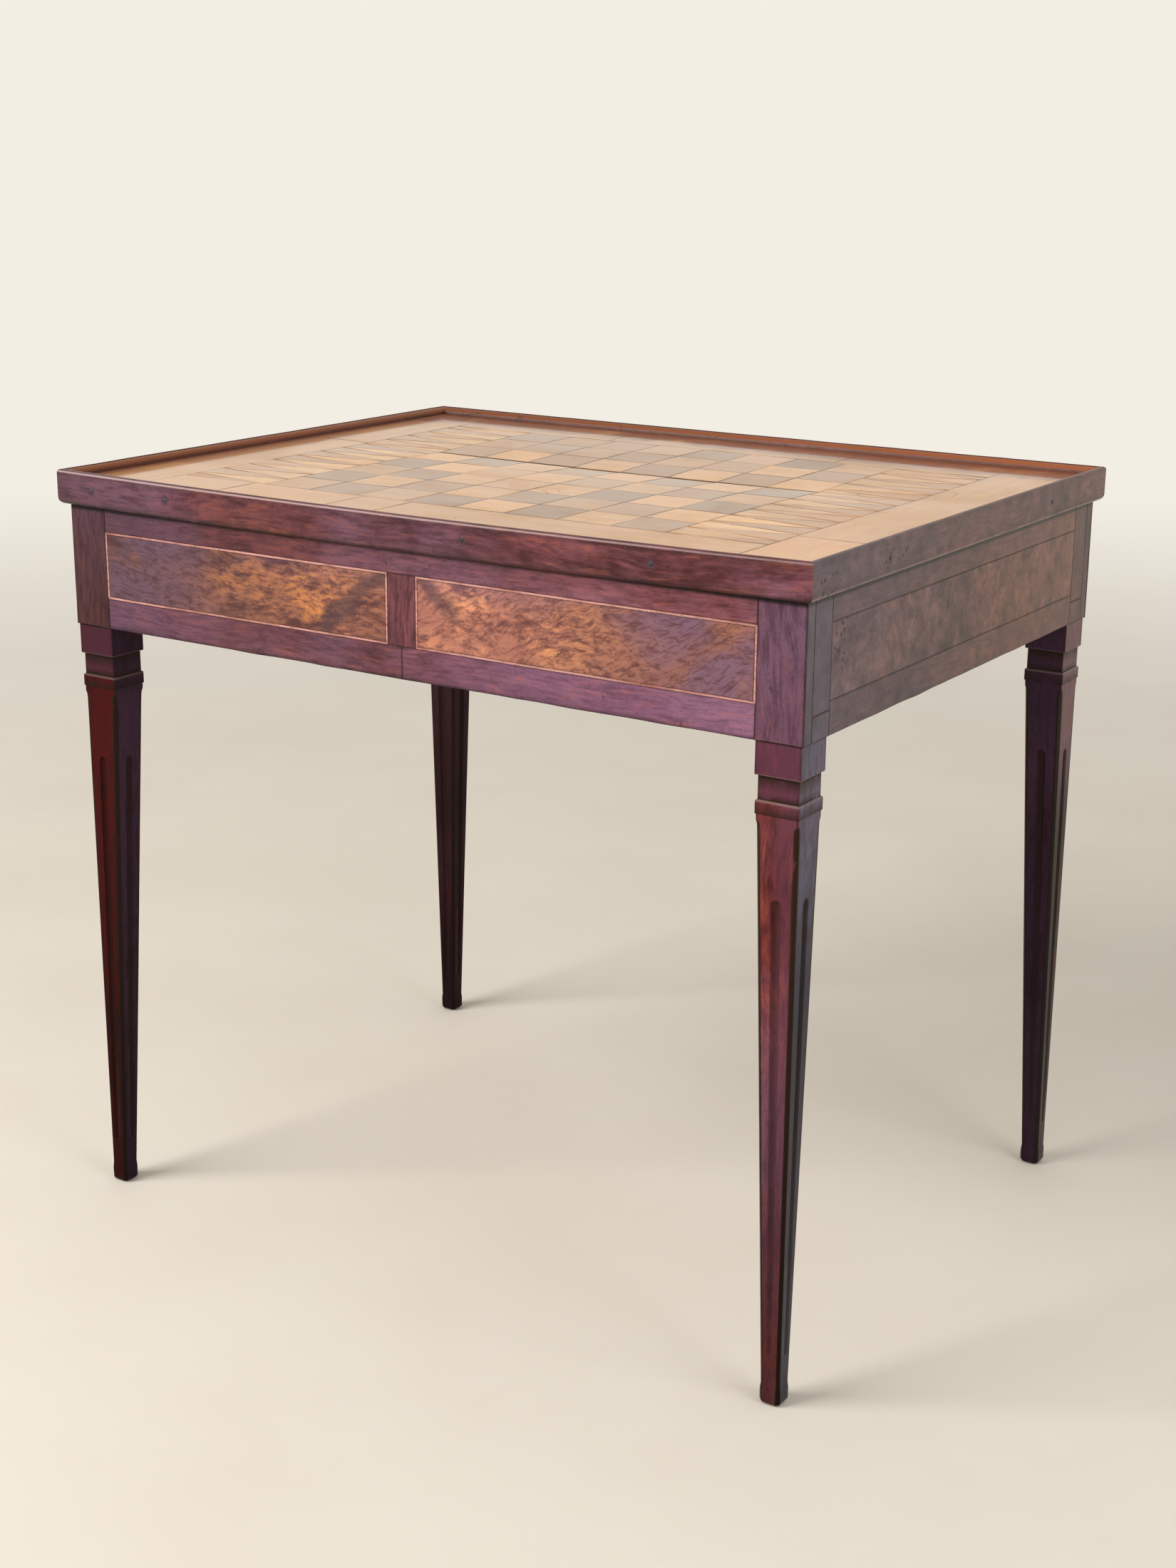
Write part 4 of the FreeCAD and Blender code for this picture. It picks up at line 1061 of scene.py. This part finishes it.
class GAMES_TABLE_OT_long_sides(bpy.types.Operator):
    """Rails, mullions, figured panels and pale stringing of the front and the back"""
    bl_idname = "games_table.long_sides"
    bl_label = "Front and back veneers"

    rail_wood = {"glow": 0.6, "cloud": 10.0, "fibre": 330.0, "streak": 0.6}
    low_shade = (0.55, CASE_BOTTOM, CASE_BOTTOM + 5 * MM)
    string_edge = 0.12 * MM

    # Painted light: brightness of the bottom rail and of the panel at each end, brighter at the
    # right
    lights = {"left": (0.62, 0.36), "right": (0.8, 0.95)}

    def execute(self, context):
        rail = polished_wood("Top rail mahogany", MAHOGANY, ALONG_X, bloom_and_sheen=0.55, under_rim=True,
                             lean=1.35, haze=((-0.2, -0.3, 0.3),), **self.rail_wood)
        low_rail = polished_wood("Bottom rail mahogany", MAHOGANY, ALONG_X, bloom_and_sheen=0.5, lean=0.8,
                                 shaded=self.low_shade,
                                 haze=((-0.03, 0.1, 0.55), (-0.17, -0.27, 0.5)), **self.rail_wood)
        mullion = polished_wood("Mullion mahogany", MAHOGANY, ALONG_Z, glow=0.25, bloom_and_sheen=0.15,
                                fibre=330.0)
        left = figured_walnut("Left walnut", "walnut_gold", shift=0.0, swirl=0.025, stretch=0.45,
                              lean=-0.08, heart=0.13, dark=0.36, slope=1.0, tip=0.085, dusk=0.14)
        right = figured_walnut("Right walnut", "walnut_glow", shift=0.37, swirl=0.045, stretch=0.6,
                               lean=0.5, heart=0.1, dark=0.28, slope=1.15, tip=0.05, dusk=0.0)
        panels = {"left": left, "right": right}
        string = polished_wood("Pale stringing", ("walnut", "string", "string"), ALONG_X,
                               bloom_and_sheen=0.15, cloud=30.0, polish=0.36, dirt_and_shade=0.3)
        for number, side in enumerate(("front", "back")):
            shift = 0.23 * number
            slot = "mahogany_veneer"
            case_veneer(f"{side}_top_rail", rail, slot, (64, 5), tone_of(0.64, shift))
            for end, (rail_light, panel_light) in self.lights.items():
                rail_tone = tone_of(rail_light, shift + 0.07)
                panel_tone = tone_of(panel_light, shift)
                case_veneer(f"{side}_bottom_rail_{end}", low_rail, slot, (32, 6), rail_tone)
                case_veneer(f"{side}_panel_{end}", panels[end], "figured_walnut_veneer", (32, 8),
                            panel_tone)
            case_veneer(f"{side}_mullion", mullion, slot, (5, 10), tone_of(0.35, shift))
            self.stringing(side, string)
        return {"FINISHED"}

    def stringing(self, side, finish):
        """Pale strips mitred round both panels of one side."""
        build = Build()
        width = sizes().string_width
        put = face_of_case(1, CASE_Y, -1 if side == "front" else 1)
        for end in ("left", "right"):
            low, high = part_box(f"{side}_panel_{end}")
            inner = rectangle(low.x, high.x, low.z, high.z)
            outer = rectangle(low.x - width, high.x + width, low.z - width, high.z + width)
            for k in range(4):
                strip = [outer[k - 1], outer[k], inner[k], inner[k - 1]]
                add_slab(build, strip, (30, 1), VENEER, put, self.string_edge)
        name, node = f"{side}_stringing_strips", f"{side}_stringing"
        build.piece(name, [finish], "case", "boxwood_stringing", node)


class GAMES_TABLE_OT_ends(bpy.types.Operator):
    """Rails and plain panels of the two ends"""
    bl_idname = "games_table.ends"
    bl_label = "End veneers"

    worm = ((-232 * MM, 677 * MM), (-242 * MM, 661 * MM), (-235 * MM, 651 * MM))
    split = -35 * MM

    def execute(self, context):
        rail = polished_wood("End rail veneer", END_VENEER, ALONG_Y, glow=0.3, bloom_and_sheen=0.12,
                             cloud=8.0, fibre=320.0, dirt_and_shade=0.8, under_rim=True, ends=(0.3, 0.35),
                             mottle=1.4, **DULLED)
        eaten = [(sx * CASE_X, y, level) for sx in (-1, 1) for y, level in self.worm]
        panel = polished_wood("End panel veneer", END_VENEER, CLOUDY, glow=0.65, bloom_and_sheen=0.12,
                              cloud=9.0, fibre=260.0, dirt_and_shade=0.5, worm=eaten, split=self.split,
                              ends=(0.32, 0.4), mottle=2.4, **DULLED)
        veneers = (
            ("top_rail", rail, "mahogany_veneer", (44, 5), 0.42),
            ("bottom_rail", rail, "mahogany_veneer", (44, 6), 0.4),
            ("panel", panel, "figured_walnut_veneer", (44, 10), 0.5),
        )
        for number, end in enumerate(("right", "left")):
            for name, finish, slot, cells, bright in veneers:
                case_veneer(f"{end}_{name}", finish, slot, cells, tone_of(bright, 0.31 * number))
        return {"FINISHED"}


class GAMES_TABLE_OT_boards(bpy.types.Operator):
    """Two sunken boards under the inlay and the cloth glued under them"""
    bl_idname = "games_table.boards"
    bl_label = "Boards and cloth"

    board_edge = 0.5 * MM
    cloth_edge = 0.2 * MM

    def execute(self, context):
        oak = plain_oak("Oak top boards", ALONG_X)
        low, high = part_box("underside_cloth")
        board_top = SURFACE_LEVEL - VENEER
        thickness = board_top - high.z
        half_gap = sizes().crack / 2
        spans = {"front": (-TRAY_Y, CRACK_Y - half_gap), "back": (CRACK_Y + half_gap, TRAY_Y)}
        for side, (y0, y1) in spans.items():
            build = Build()
            corners = rectangle(-TRAY_X, TRAY_X, y0, y1)
            add_slab(build, corners, (24, 16), thickness, on_top(board_top), self.board_edge)
            node = f"top_board_{side}"
            build.piece(f"{node}_sunken", [oak], "top", "carcase_oak", node)
        build = Build()
        corners = rectangle(low.x, high.x, low.y, high.y)
        add_slab(build, corners, (40, 30), high.z - low.z, on_top(high.z), self.cloth_edge)
        finishes = [baize("Green baize")]
        cloth = build.piece("underside_baize", finishes, "top", "green_cloth", "underside_cloth")
        return {"FINISHED"}


class GAMES_TABLE_OT_playing_surface(bpy.types.Operator):
    """Squares, points, the ground between them and the border, laid on the sunken boards"""
    bl_idname = "games_table.playing_surface"
    bl_label = "Playing surface"

    seed = 7
    square_cells = (5, 6)
    point_cells = (3, 9)
    border_cell = 14 * MM
    proud_range = (-0.16, 0.06)
    torn_range = (0.3, 1.6)

    # Spread of brightness and share of warm pieces in each part of the inlay
    variety = {
        "light": (0.4, 0.4),
        "dark": (0.4, 0.12),
        "points": (0.16, 0.15),
        "ground": (0.14, 0.15),
        "front": (0.1, 0.15),
        "back": (0.1, 0.15),
        "left": (0.1, 0.15),
        "right": (0.1, 0.5),
    }
    border_joints = {
        "front": (-230 * MM, -100 * MM, -45 * MM),
        "back": (-120 * MM, 150 * MM),
        "left": (60 * MM,),
        "right": (-170 * MM,),
    }

    def execute(self, context):
        self.draw_lots = random.Random(self.seed)
        self.put = on_top(SURFACE_LEVEL)
        self.gap = sizes().joint / 2
        self.squares()
        self.points()
        self.borders()
        return {"FINISHED"}

    def tone(self, part):
        """A tone for one inlaid piece: brightness, warmth and its own stretch of grain."""
        lots = self.draw_lots
        spread, warm_share = self.variety[part]
        kept = lots.random() < warm_share
        warm = lots.uniform(0.4, 0.8) if kept else lots.uniform(0.0, 0.2)
        bright = 0.5 + lots.uniform(-spread, spread)
        return tone_of(bright, lots.random(), warm)

    def tile(self, build, corners, cells, tone):
        """One inlaid piece, very slightly proud or shy of its neighbours."""
        proud = self.draw_lots.uniform(*self.proud_range) * MM

        def put(u, v, w):
            return self.put(u, v, w + (proud if w > -VENEER else 0.0))

        edge, soil_and_shade = sizes().inlay_edge, sizes().inlay_soil
        add_slab(build, corners, cells, VENEER, put, edge, tone, soil_and_shade)

    def squares(self):
        """Light and dark squares, torn along the open joint."""
        gap, crack = self.gap, sizes().crack / 2
        builds = {"light": Build(), "dark": Build()}
        for row in range(SQUARES):
            for column in range(SQUARES):
                u, v = -BOARD_HALF + SQUARE * column, -BOARD_HALF + SQUARE * row
                torn = self.draw_lots.uniform(*self.torn_range) * crack
                low_gap = torn if abs(v - CRACK_Y) < MM else gap
                high_gap = torn if abs(v + SQUARE - CRACK_Y) < MM else gap
                corners = rectangle(u + gap, u + SQUARE - gap, v + low_gap, v + SQUARE - high_gap)
                shade = "light" if (row + column) % 2 == 0 else "dark"
                self.tile(builds[shade], corners, self.square_cells, self.tone(shade))
        for shade, build in builds.items():
            finish = inlay_wood(f"{shade.title()} squares", f"{shade}_square", ALONG_X, streak=0.3)
            name, node = f"{shade}_squares_laid", f"{shade}_squares"
            build.piece(name, [finish], "top", f"{shade}_square_veneer", node)

    def points(self):
        """Long points at both ends, and the ground that fits between them."""
        gap, pitch = self.gap, 2 * BOARD_HALF / POINTS
        point_finish = inlay_wood("Pale points", "point", ALONG_X, streak=0.5, joint=0.5)
        ground_finish = inlay_wood("Point ground", "point_ground", ALONG_X, streak=0.6, joint=0.5)
        for end, facing in (("left", -1), ("right", 1)):
            points, ground = Build(), Build()
            inner, outer = facing * (BOARD_HALF + gap), facing * (POINTS_X - gap)
            for k in range(POINTS):
                v = -BOARD_HALF + pitch * k
                base = [(inner, v + gap), (inner, v + pitch - gap)]
                apex = [(outer, v + pitch / 2 + gap), (outer, v + pitch / 2 - gap)]
                self.tile(points, base + apex, self.point_cells, self.tone("points"))
            for k in range(POINTS + 1):
                v = -BOARD_HALF + pitch * k
                first = max(v - pitch / 2 + 2 * gap, -BOARD_HALF + gap)
                last = min(v + pitch / 2 - 2 * gap, BOARD_HALF - gap)
                base = [(outer, first), (outer, last)]
                apex = [(inner, min(v + gap, last)), (inner, max(v - gap, first))]
                self.tile(ground, base + apex, self.point_cells, self.tone("ground"))
            node = f"{end}_points"
            points.piece(f"{node}_laid", [point_finish], "top", "point_veneer", node)
            node = f"{end}_point_ground"
            ground.piece(f"{node}_laid", [ground_finish], "top", "point_ground_veneer", node)

    def borders(self):
        """The border, in the lengths that its joints leave."""
        gap = self.gap
        for side, places in self.border_joints.items():
            node = f"border_{side}"
            low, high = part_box(node)
            long_way = side in ("front", "back")
            start, stop = (low.x, high.x) if long_way else (low.y, high.y)
            joints = [start, *places, stop]
            build = Build()
            for first, last in zip(joints, joints[1:]):
                cells = (max(3, int((last - first) / self.border_cell)), 5)
                if long_way:
                    corners = rectangle(first + gap, last - gap, low.y + gap, high.y - gap)
                else:
                    corners = rectangle(low.x + gap, high.x - gap, first + gap, last - gap)
                    cells = cells[::-1]
                self.tile(build, corners, cells, self.tone(side))
            grain = ALONG_X if long_way else ALONG_Y
            finish = inlay_wood(f"{side.title()} border", "border", grain, streak=0.25)
            build.piece(f"{node}_laid", [finish], "top", "border_veneer", node)


def nail_places():
    """Where each nail enters the rim, and which way its head faces."""
    places = []
    for facing in (-1, 1):
        for part in LONG_RIM_NAILS:
            place = Vector((part * 2 * RIM_X, facing * RIM_Y, NAIL_LEVEL))
            places.append((place, Vector((0, facing, 0))))
        for part in END_RIM_NAILS:
            place = Vector((facing * RIM_X, part * 2 * RIM_Y, NAIL_LEVEL))
            places.append((place, Vector((facing, 0, 0))))
    return places


class GAMES_TABLE_OT_rim(bpy.types.Operator):
    """Four lengths of rim moulding, mitred at the corners"""
    bl_idname = "games_table.rim"
    bl_label = "Rim moulding"

    # The axis that each length runs along, the way it faces and its share of the bow
    sides = {
        "front": (0, -1, 1.0),
        "right": (1, 1, 0.0),
        "back": (0, 1, 0.15),
        "left": (1, -1, 0.0),
    }
    wood = {"polish": 0.22, "dirt_and_shade": 0.9, "cloud": 16.0}
    long_wood = {**wood, "glow": 0.7, "bloom_and_sheen": 0.7, "fibre": 300.0, "lean": 0.7, "streak": 0.8}
    worm = ((-282 * MM, 718 * MM), (-262 * MM, 718 * MM),
            (-175 * MM, 726 * MM), (-145 * MM, 721 * MM))
    lower_highlight = 0.75
    lower_darkening = 0.75
    glint = 0.75
    lip = 7 * MM
    dent = 0.4 * MM
    sheltered_dent = 0.35
    pitch = 9 * MM
    turns = 5

    def execute(self, context):
        nails = nail_places()
        long_nails = [place for place, outward in nails if outward.y]
        end_nails = [place for place, outward in nails if outward.x]
        eaten = [(sx * RIM_X, y, level) for sx in (-1, 1) for y, level in self.worm]
        long_finish = polished_wood("Long rim mahogany", MAHOGANY, ALONG_X, rubbed_and_lit="rim_warm_light",
                                    **self.long_wood)
        face_finish = polished_wood("Long rim face", MAHOGANY, ALONG_X, rubbed_and_lit="rim_glint",
                                    nails=long_nails, **self.long_wood)
        inner_finish = polished_wood("End rim moulding", MAHOGANY, ALONG_Y, rubbed_and_lit="rim_warm_light",
                                     glow=0.6, bloom_and_sheen=0.2, **self.wood)
        end_finish = polished_wood("End rim face", END_VENEER, ALONG_Y, rubbed_and_lit="arris_highlight",
                                   glow=0.3, bloom_and_sheen=0.12, dirt_and_shade=0.5, worm=eaten, nails=end_nails,
                                   ends=(0.3, 0.0), mottle=1.6, **DULLED)
        finishes = ([face_finish, long_finish], [end_finish, inner_finish])
        for number, (side, (axis, facing, bow_share)) in enumerate(self.sides.items()):
            build = Build()
            self.moulding(build, axis, facing, bow_share, 17.0 * number)
            name, node = f"rim_{side}_moulding", f"rim_{side}"
            build.piece(name, finishes[axis], "top", "rim_mahogany", node)
        return {"FINISHED"}

    def section(self):
        """The rim's section: depth from the outer face, level, grime with painted shade, painted
        highlight and warm light, and finish.
        """
        chosen = sizes()
        upper, lower = chosen.rim_upper_round, chosen.rim_lower_round
        flat, ovolo = chosen.rim_flat, chosen.ovolo
        width = RIM_X - TRAY_X
        quarter = [RIGHT_ANGLE * k / self.turns for k in range(self.turns + 1)]
        rows = [(width, RIM_BOTTOM, 0.3, 0.0, 0), (lower + 3 * MM, RIM_BOTTOM, 0.3, 0.0, 0)]
        # Lower round: painted highlight along its arris, kept on the end rims
        for k, angle in enumerate(quarter):
            depth = lower * (1 - math.sin(angle))
            level = RIM_BOTTOM + lower * (1 - math.cos(angle))
            rows.append((depth, level, 0.2, self.lower_highlight if k < 4 else 0.0, 0))
        rise = TABLE_TOP - upper - RIM_BOTTOM - lower
        rows += [(0.0, RIM_BOTTOM + lower + rise * k / 4, 0.0, 0.0, 0) for k in range(1, 4)]
        for angle in quarter:
            depth = upper * (1 - math.cos(angle))
            rows.append((depth, TABLE_TOP - upper * (1 - math.sin(angle)), 0.3, 0.0, 0))
        ovolo_top = TABLE_TOP - chosen.rim_fillet
        # Inner edge of the flat: painted warm light; the fillet's step darker
        rows += [
            (flat - MM, TABLE_TOP, 0.3, 0.0, 1),
            (flat - 0.3 * MM, TABLE_TOP, 0.2, 0.7, 1),
            (flat, TABLE_TOP - 0.3 * MM, 0.8, 0.0, 1),
            (flat, ovolo_top, 1.0, 0.0, 1),
        ]
        # Ovolo: painted warm light on its upper part, painted shade on its lower part
        for k, angle in enumerate(quarter[1:]):
            depth = flat + ovolo * math.sin(angle)
            level = ovolo_top - ovolo * (1 - math.cos(angle))
            dirt_and_shade, rub_and_light = (0.0, 0.95) if k < 3 else (0.9, 0.3)
            rows.append((depth, level, dirt_and_shade, rub_and_light, 1))
        # Foot of the moulding: painted reflection of the lip in the polished top
        return rows + [
            (width - 2 * MM, SURFACE_LEVEL + 0.3 * MM, 0.2, 0.9, 1),
            (width, SURFACE_LEVEL, 0.6, 0.5, 0),
        ]

    def moulding(self, build, axis, facing, bow_share, seed):
        """One length, mitred at both ends, with a glint along the upper arris of the long ones."""
        section = self.section()
        half, face = (RIM_X, RIM_Y) if axis == 0 else (RIM_Y, RIM_X)
        bowed = sizes().rim_bow * bow_share
        count = int(2 * half / self.pitch)
        rings = []
        for k in range(count + 1):
            along = -1 + 2 * k / count
            ring = []
            for depth, level, dirt_and_shade, rub_and_light, kind in section:
                run = along * (half - depth)
                dented = noise.noise(Vector((seed, run * 14, level * 30))) - 0.05
                exposed = depth < 6 * MM and level > RIM_BOTTOM + 20 * MM
                dent = self.dent * max(0.0, dented) * (1.0 if exposed else self.sheltered_dent)
                out = facing * (face - depth - (dent if depth < 10 * MM else 0.0))
                held = depth > self.lip and level < SURFACE_LEVEL + MM
                bow = 0.0 if held else bowed * (1 - along ** 2)
                height = level - bow - (dent if level > TABLE_TOP - 2 * MM else 0.0)
                # Long rims: a painted glint along the upper arris, and darker along the lower arris
                if axis == 0 and kind == 0:
                    upper_arris = TABLE_TOP - 2.5 * MM < level < TABLE_TOP - MM
                    rub_and_light = self.glint * (0.6 - 0.4 * along) if upper_arris else 0.0
                    dirt_and_shade = self.lower_darkening if level < RIM_BOTTOM + 2.5 * MM else dirt_and_shade
                point = Vector((run, out, height) if axis == 0 else (out, run, height))
                ring.append(build.add(point, dirt_and_shade, tone_of(0.5, seed * 0.01), rub_and_light))
            rings.append(ring)
        build.bar(rings, [row[-1] for row in section])


class GAMES_TABLE_OT_nails(bpy.types.Operator):
    """Forged nails driven through the rim"""
    bl_idname = "games_table.nails"
    bl_label = "Rim nails"

    sides = 12
    shank = 28 * MM

    def execute(self, context):
        build = Build()
        for place, outward in nail_places():
            self.nail(build, place, outward)
        finishes = [forged_iron("Forged iron")]
        build.piece("rim_nails_forged", finishes, "top", "iron_nails", "rim_nails")
        return {"FINISHED"}

    def nail(self, build, place, outward):
        """A flat domed head and a tapered shank."""
        upward = Vector((0, 0, 1))
        aside = upward.cross(outward)
        radius = sizes().nail_head / 2
        profile = (
            (0.35 * radius, 0.3 * MM, 0.0),
            (0.75 * radius, 0.16 * MM, 0.0),
            (radius, -0.15 * MM, 1.0),
            (radius, -0.8 * MM, 1.0),
            (1.2 * MM, -1.0 * MM, 1.0),
            (0.5 * MM, -self.shank, 1.0),
        )
        rings = []
        for reach, proud, dirt_and_shade in profile:
            ring = []
            for k in range(self.sides):
                angle = math.tau * k / self.sides
                cosine, sine = math.cos(angle), math.sin(angle)
                uneven = 1 + 0.08 * noise.noise(place * 100 + Vector((cosine, sine, 0)))
                side = aside * cosine + upward * sine
                ring.append(build.add(place + side * reach * uneven + outward * proud, dirt_and_shade))
            rings.append(ring)
        build.bar(rings, [0] * self.sides)


class GAMES_TABLE_OT_stage(bpy.types.Operator):
    """Pale floor, soft light and the camera"""
    bl_idname = "games_table.stage"
    bl_label = "Floor, light and camera"

    floor_radius = 14.0
    floor_drop = 0.3 * MM

    # Place, target, width and tint of each light
    key = ((-1.9, -2.6, 2.5), (0.0, 0.0, 0.6), 2.0, (1.0, 0.97, 0.93))
    fill = ((3.0, -0.6, 1.9), (0.2, 0.0, 0.55), 1.8, (0.95, 0.97, 1.0))

    def execute(self, context):
        scene = context.scene
        stage = scene.games_table_stage
        scene.view_settings.view_transform = "Standard"
        self.floor(scene)
        self.sky(scene, stage.sky)
        self.lamp(scene, "Key", stage.key, *self.key)
        self.lamp(scene, "Fill", stage.fill, *self.fill)
        self.camera(scene, stage)
        return {"FINISHED"}

    def floor(self, scene):
        """A round pale floor that fades into the backdrop."""
        mesh = bpy.data.meshes.new("floor")
        work = bmesh.new()
        bmesh.ops.create_circle(work, cap_ends=True, radius=self.floor_radius, segments=96)
        bmesh.ops.translate(work, verts=work.verts, vec=(0, 0, -self.floor_drop))
        work.to_mesh(mesh)
        work.free()
        floor = bpy.data.objects.new("floor", mesh)
        scene.collection.objects.link(floor)
        f = new_finish("Pale floor", "floor")
        place = f.place()
        f.lay(f.ramp(f.noise(place, 3.0, 4.0), 0.3, 0.7) * 0.06, "oak")
        sockets = {"Base Color": f.base, "Roughness": 0.7, "Specular IOR Level": 0.2}
        near = f.add("ShaderNodeBsdfPrincipled", {}, sockets)
        far = f.add("ShaderNodeEmission", {}, {"Color": paint("backdrop"), "Strength": 1.0})
        away = f.ramp(f.apart(place, (0, 0, 0)), 1.2, 5.0)
        mixed = f.add("ShaderNodeMixShader", {}, {0: away, 1: near, 2: far})
        f.add("ShaderNodeOutputMaterial", {}, {"Surface": mixed})
        mesh.materials.append(f.owner)

    def sky(self, scene, strength):
        """Light from all round, and a plain bright backdrop behind the table."""
        scene.world = bpy.data.worlds.new("Soft room")
        f = Finish(scene.world, "backdrop")
        light = f.add("ShaderNodeBackground", {}, {"Color": f.base, "Strength": strength})
        shown = f.add("ShaderNodeBackground", {}, {"Color": f.base, "Strength": 1.0})
        rays = ("Is Camera Ray", "Is Glossy Ray", "Is Transmission Ray")
        direct = sum(f.add("ShaderNodeLightPath", {}, {}, ray) for ray in rays)
        mixed = f.add("ShaderNodeMixShader", {}, {0: direct, 1: light, 2: shown})
        f.add("ShaderNodeOutputWorld", {}, {"Surface": mixed})

    def lamp(self, scene, name, power, place, target, width, tint):
        """A square soft light that faces its target."""
        data = bpy.data.lights.new(name, "AREA")
        data.shape = "SQUARE"
        data.size = width
        data.energy = power
        data.color = tint
        lamp = bpy.data.objects.new(name, data)
        lamp.location = place
        ahead = Vector(target) - Vector(place)
        lamp.rotation_euler = ahead.to_track_quat("-Z", "Y").to_euler()
        scene.collection.objects.link(lamp)

    def camera(self, scene, stage):
        """The camera, from its place, yaw, pitch and roll."""
        data = bpy.data.cameras.new("Camera")
        data.lens = stage.lens
        camera = bpy.data.objects.new("Camera", data)
        level = Vector((math.cos(stage.yaw), math.sin(stage.yaw), 0))
        ahead = Vector((-math.sin(stage.yaw) * math.cos(stage.pitch),
                        math.cos(stage.yaw) * math.cos(stage.pitch), -math.sin(stage.pitch)))
        upright = level.cross(ahead)
        right = level * math.cos(stage.roll) + upright * math.sin(stage.roll)
        up = upright * math.cos(stage.roll) - level * math.sin(stage.roll)
        turn = Matrix((right, up, -ahead)).transposed().to_4x4()
        camera.matrix_world = Matrix.Translation(stage.place) @ turn
        scene.collection.objects.link(camera)
        scene.camera = camera


OPERATORS = (
    GAMES_TABLE_OT_legs,
    GAMES_TABLE_OT_inside,
    GAMES_TABLE_OT_stiles,
    GAMES_TABLE_OT_long_sides,
    GAMES_TABLE_OT_ends,
    GAMES_TABLE_OT_boards,
    GAMES_TABLE_OT_playing_surface,
    GAMES_TABLE_OT_rim,
    GAMES_TABLE_OT_nails,
    GAMES_TABLE_OT_stage,
)
GROUPS = {
    "games_table_sizes": TableSizes,
    "games_table_colours": TableColours,
    "games_table_stage": TableStage,
}


class GAMES_TABLE_PT_sidebar(bpy.types.Panel):
    """Lists the pieces with their sizes and colours"""
    bl_idname = "GAMES_TABLE_PT_sidebar"
    bl_label = "Games table"
    bl_space_type = "VIEW_3D"
    bl_region_type = "UI"
    bl_category = "Games table"

    def draw(self, context):
        for operator in OPERATORS:
            self.layout.operator(operator.bl_idname)
        for group in GROUPS:
            chosen = getattr(context.scene, group)
            box = self.layout.box()
            for name in chosen.__annotations__:
                box.prop(chosen, name)


CLASSES = (*GROUPS.values(), *OPERATORS, GAMES_TABLE_PT_sidebar)


def register():
    for item in CLASSES:
        bpy.utils.register_class(item)
    for name, group in GROUPS.items():
        setattr(bpy.types.Scene, name, PointerProperty(type=group))


def unregister():
    for name in GROUPS:
        delattr(bpy.types.Scene, name)
    for item in reversed(CLASSES):
        bpy.utils.unregister_class(item)


def main():
    register()
    for operator in OPERATORS:
        group, name = operator.bl_idname.split(".")
        getattr(getattr(bpy.ops, group), name)()


if __name__ == "__main__":
    main()
